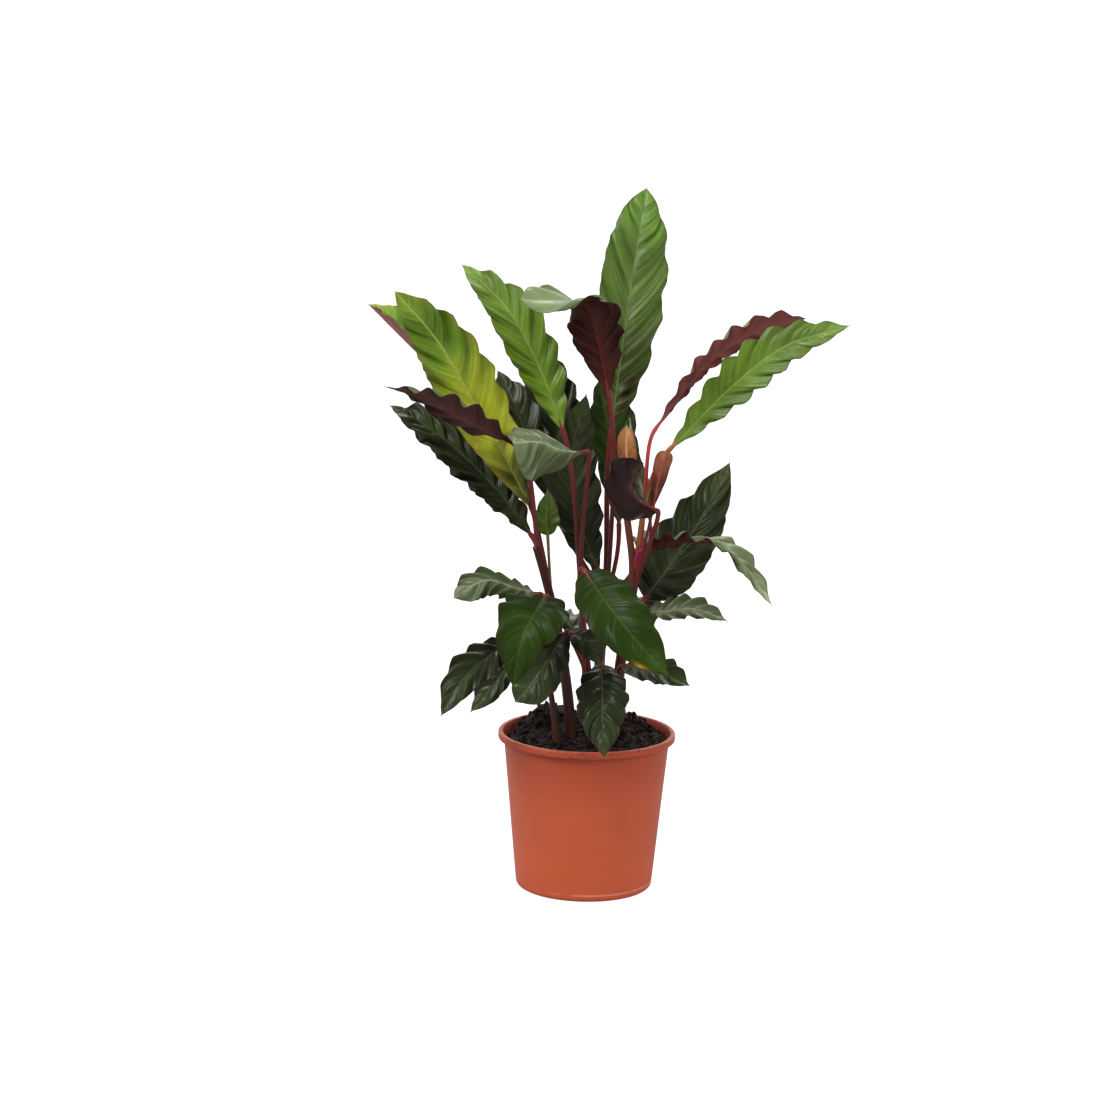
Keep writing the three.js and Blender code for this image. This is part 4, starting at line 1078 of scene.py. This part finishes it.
rng = np.random.default_rng(7)
pot_piece(pot_material())
soil = soil_material()
soil_piece(soil)
crumb_piece(soil, rng)
fibre_piece(fibre_material(), rng)
stalks = stalk_material()
for shoot_name in SHOOTS:
    shoot_piece(shoot_name, stalks, rng)
glossy_leaf = leaf_material("leaf", 0.3)
dull_leaf = leaf_material("dull_leaf", 0.1)
for blade_name, blade_spec in BLADES.items():
    blade_piece(blade_name, blade_spec, dull_leaf if blade_spec.dull else glossy_leaf, rng)


# ---- floor, lights and camera ----

FLOOR_TONE = 0.3  # what the floor throws back at the plant
FLOOR_GLOW = 0.85  # how much the floor's own light adds where the camera sees it, so that it is white there


def floor():
    mesh = bpy.data.meshes.new("floor")
    reach = 2000.0
    corners = [(-reach, -reach, 0), (reach, -reach, 0), (reach, reach, 0), (-reach, reach, 0)]
    mesh.from_pydata(corners, [], [(0, 1, 2, 3)])
    made = bpy.data.objects.new("floor", mesh)
    bpy.context.scene.collection.objects.link(made)
    paper, tree, shader = material("paper", 1.0, 0.0)
    shader.inputs["Base Color"].default_value = (FLOOR_TONE, FLOOR_TONE, FLOOR_TONE, 1)
    shader.inputs["Emission Color"].default_value = (1, 1, 1, 1)
    seen = tree.nodes.new("ShaderNodeLightPath").outputs["Is Camera Ray"]
    tree.links.new(math_node(tree, "MULTIPLY", seen, FLOOR_GLOW), shader.inputs["Emission Strength"])
    mesh.materials.append(paper)


WORLD_LIGHT = 0.75
FRONT_GLOSS = 0.12  # what gloss shows of the studio in front of the plant, and of its white back
BACK_GLOSS = 0.9
# Each broad lamp: its strength, how many degrees across it is, where its light comes from and whether
# gloss shows it.
LAMPS = {
    "key": (2.1, 26, (-0.8, -0.5, 0.9), True),
    "fill": (1.2, 30, (0.7, -0.6, 0.5), False),
    "top": (1.4, 30, (0.15, 0.8, 1), True),
}


def lights():
    """A soft sky, white where the camera sees it, and three broad lamps."""
    world = bpy.data.worlds.new("studio")
    bpy.context.scene.world = world
    world.use_nodes = True
    tree = world.node_tree
    sky = tree.nodes["Background"]
    sky.inputs["Color"].default_value = (1, 1, 1, 1)
    rays = tree.nodes.new("ShaderNodeLightPath").outputs
    heading = tree.nodes.new("ShaderNodeSeparateXYZ")
    tree.links.new(tree.nodes.new("ShaderNodeTexCoord").outputs["Generated"], heading.inputs[0])
    gloss = spread(tree, above(tree, heading.outputs["Y"], 0.3, 0.5), FRONT_GLOSS, BACK_GLOSS)
    change = math_node(tree, "SUBTRACT", gloss, WORLD_LIGHT)
    level = math_node(tree, "ADD", WORLD_LIGHT, math_node(tree, "MULTIPLY", rays["Is Glossy Ray"], change))
    level = math_node(tree, "MAXIMUM", level, rays["Is Camera Ray"])
    tree.links.new(level, sky.inputs["Strength"])
    for name, (strength, across, place, glossy) in LAMPS.items():
        lamp = bpy.data.lights.new(name, "SUN")
        lamp.energy = strength
        lamp.angle = math.radians(across)
        stand = bpy.data.objects.new(name, lamp)
        stand.rotation_euler = Vector(place).to_track_quat("Z", "Y").to_euler()
        stand.visible_glossy = glossy
        bpy.context.scene.collection.objects.link(stand)


CAMERA_PLACE = (-0.029, -2.8, 0.862)
CAMERA_PITCH = 0.1917  # radians down
CAMERA_ROLL = 0.0202
CAMERA_FOCUS = 2999  # pixels, in a frame 1120 across
FRAME_SIDE = 1120
SENSOR = 36


def camera():
    data = bpy.data.cameras.new("camera")
    data.sensor_width = SENSOR
    data.lens = CAMERA_FOCUS / FRAME_SIDE * SENSOR
    data.clip_end = 5000
    made = bpy.data.objects.new("camera", data)
    forward = Vector((0, math.cos(CAMERA_PITCH), -math.sin(CAMERA_PITCH)))
    across = Vector((1, 0, 0))
    upward = across.cross(forward)
    right = across * math.cos(CAMERA_ROLL) + upward * math.sin(CAMERA_ROLL)
    top = right.cross(forward)
    made.matrix_world = Matrix((
        (right.x, top.x, -forward.x, CAMERA_PLACE[0]),
        (right.y, top.y, -forward.y, CAMERA_PLACE[1]),
        (right.z, top.z, -forward.z, CAMERA_PLACE[2]),
        (0, 0, 0, 1)))
    bpy.context.scene.collection.objects.link(made)
    bpy.context.scene.camera = made


floor()
lights()
camera()
bpy.context.scene.view_settings.view_transform = "Standard"
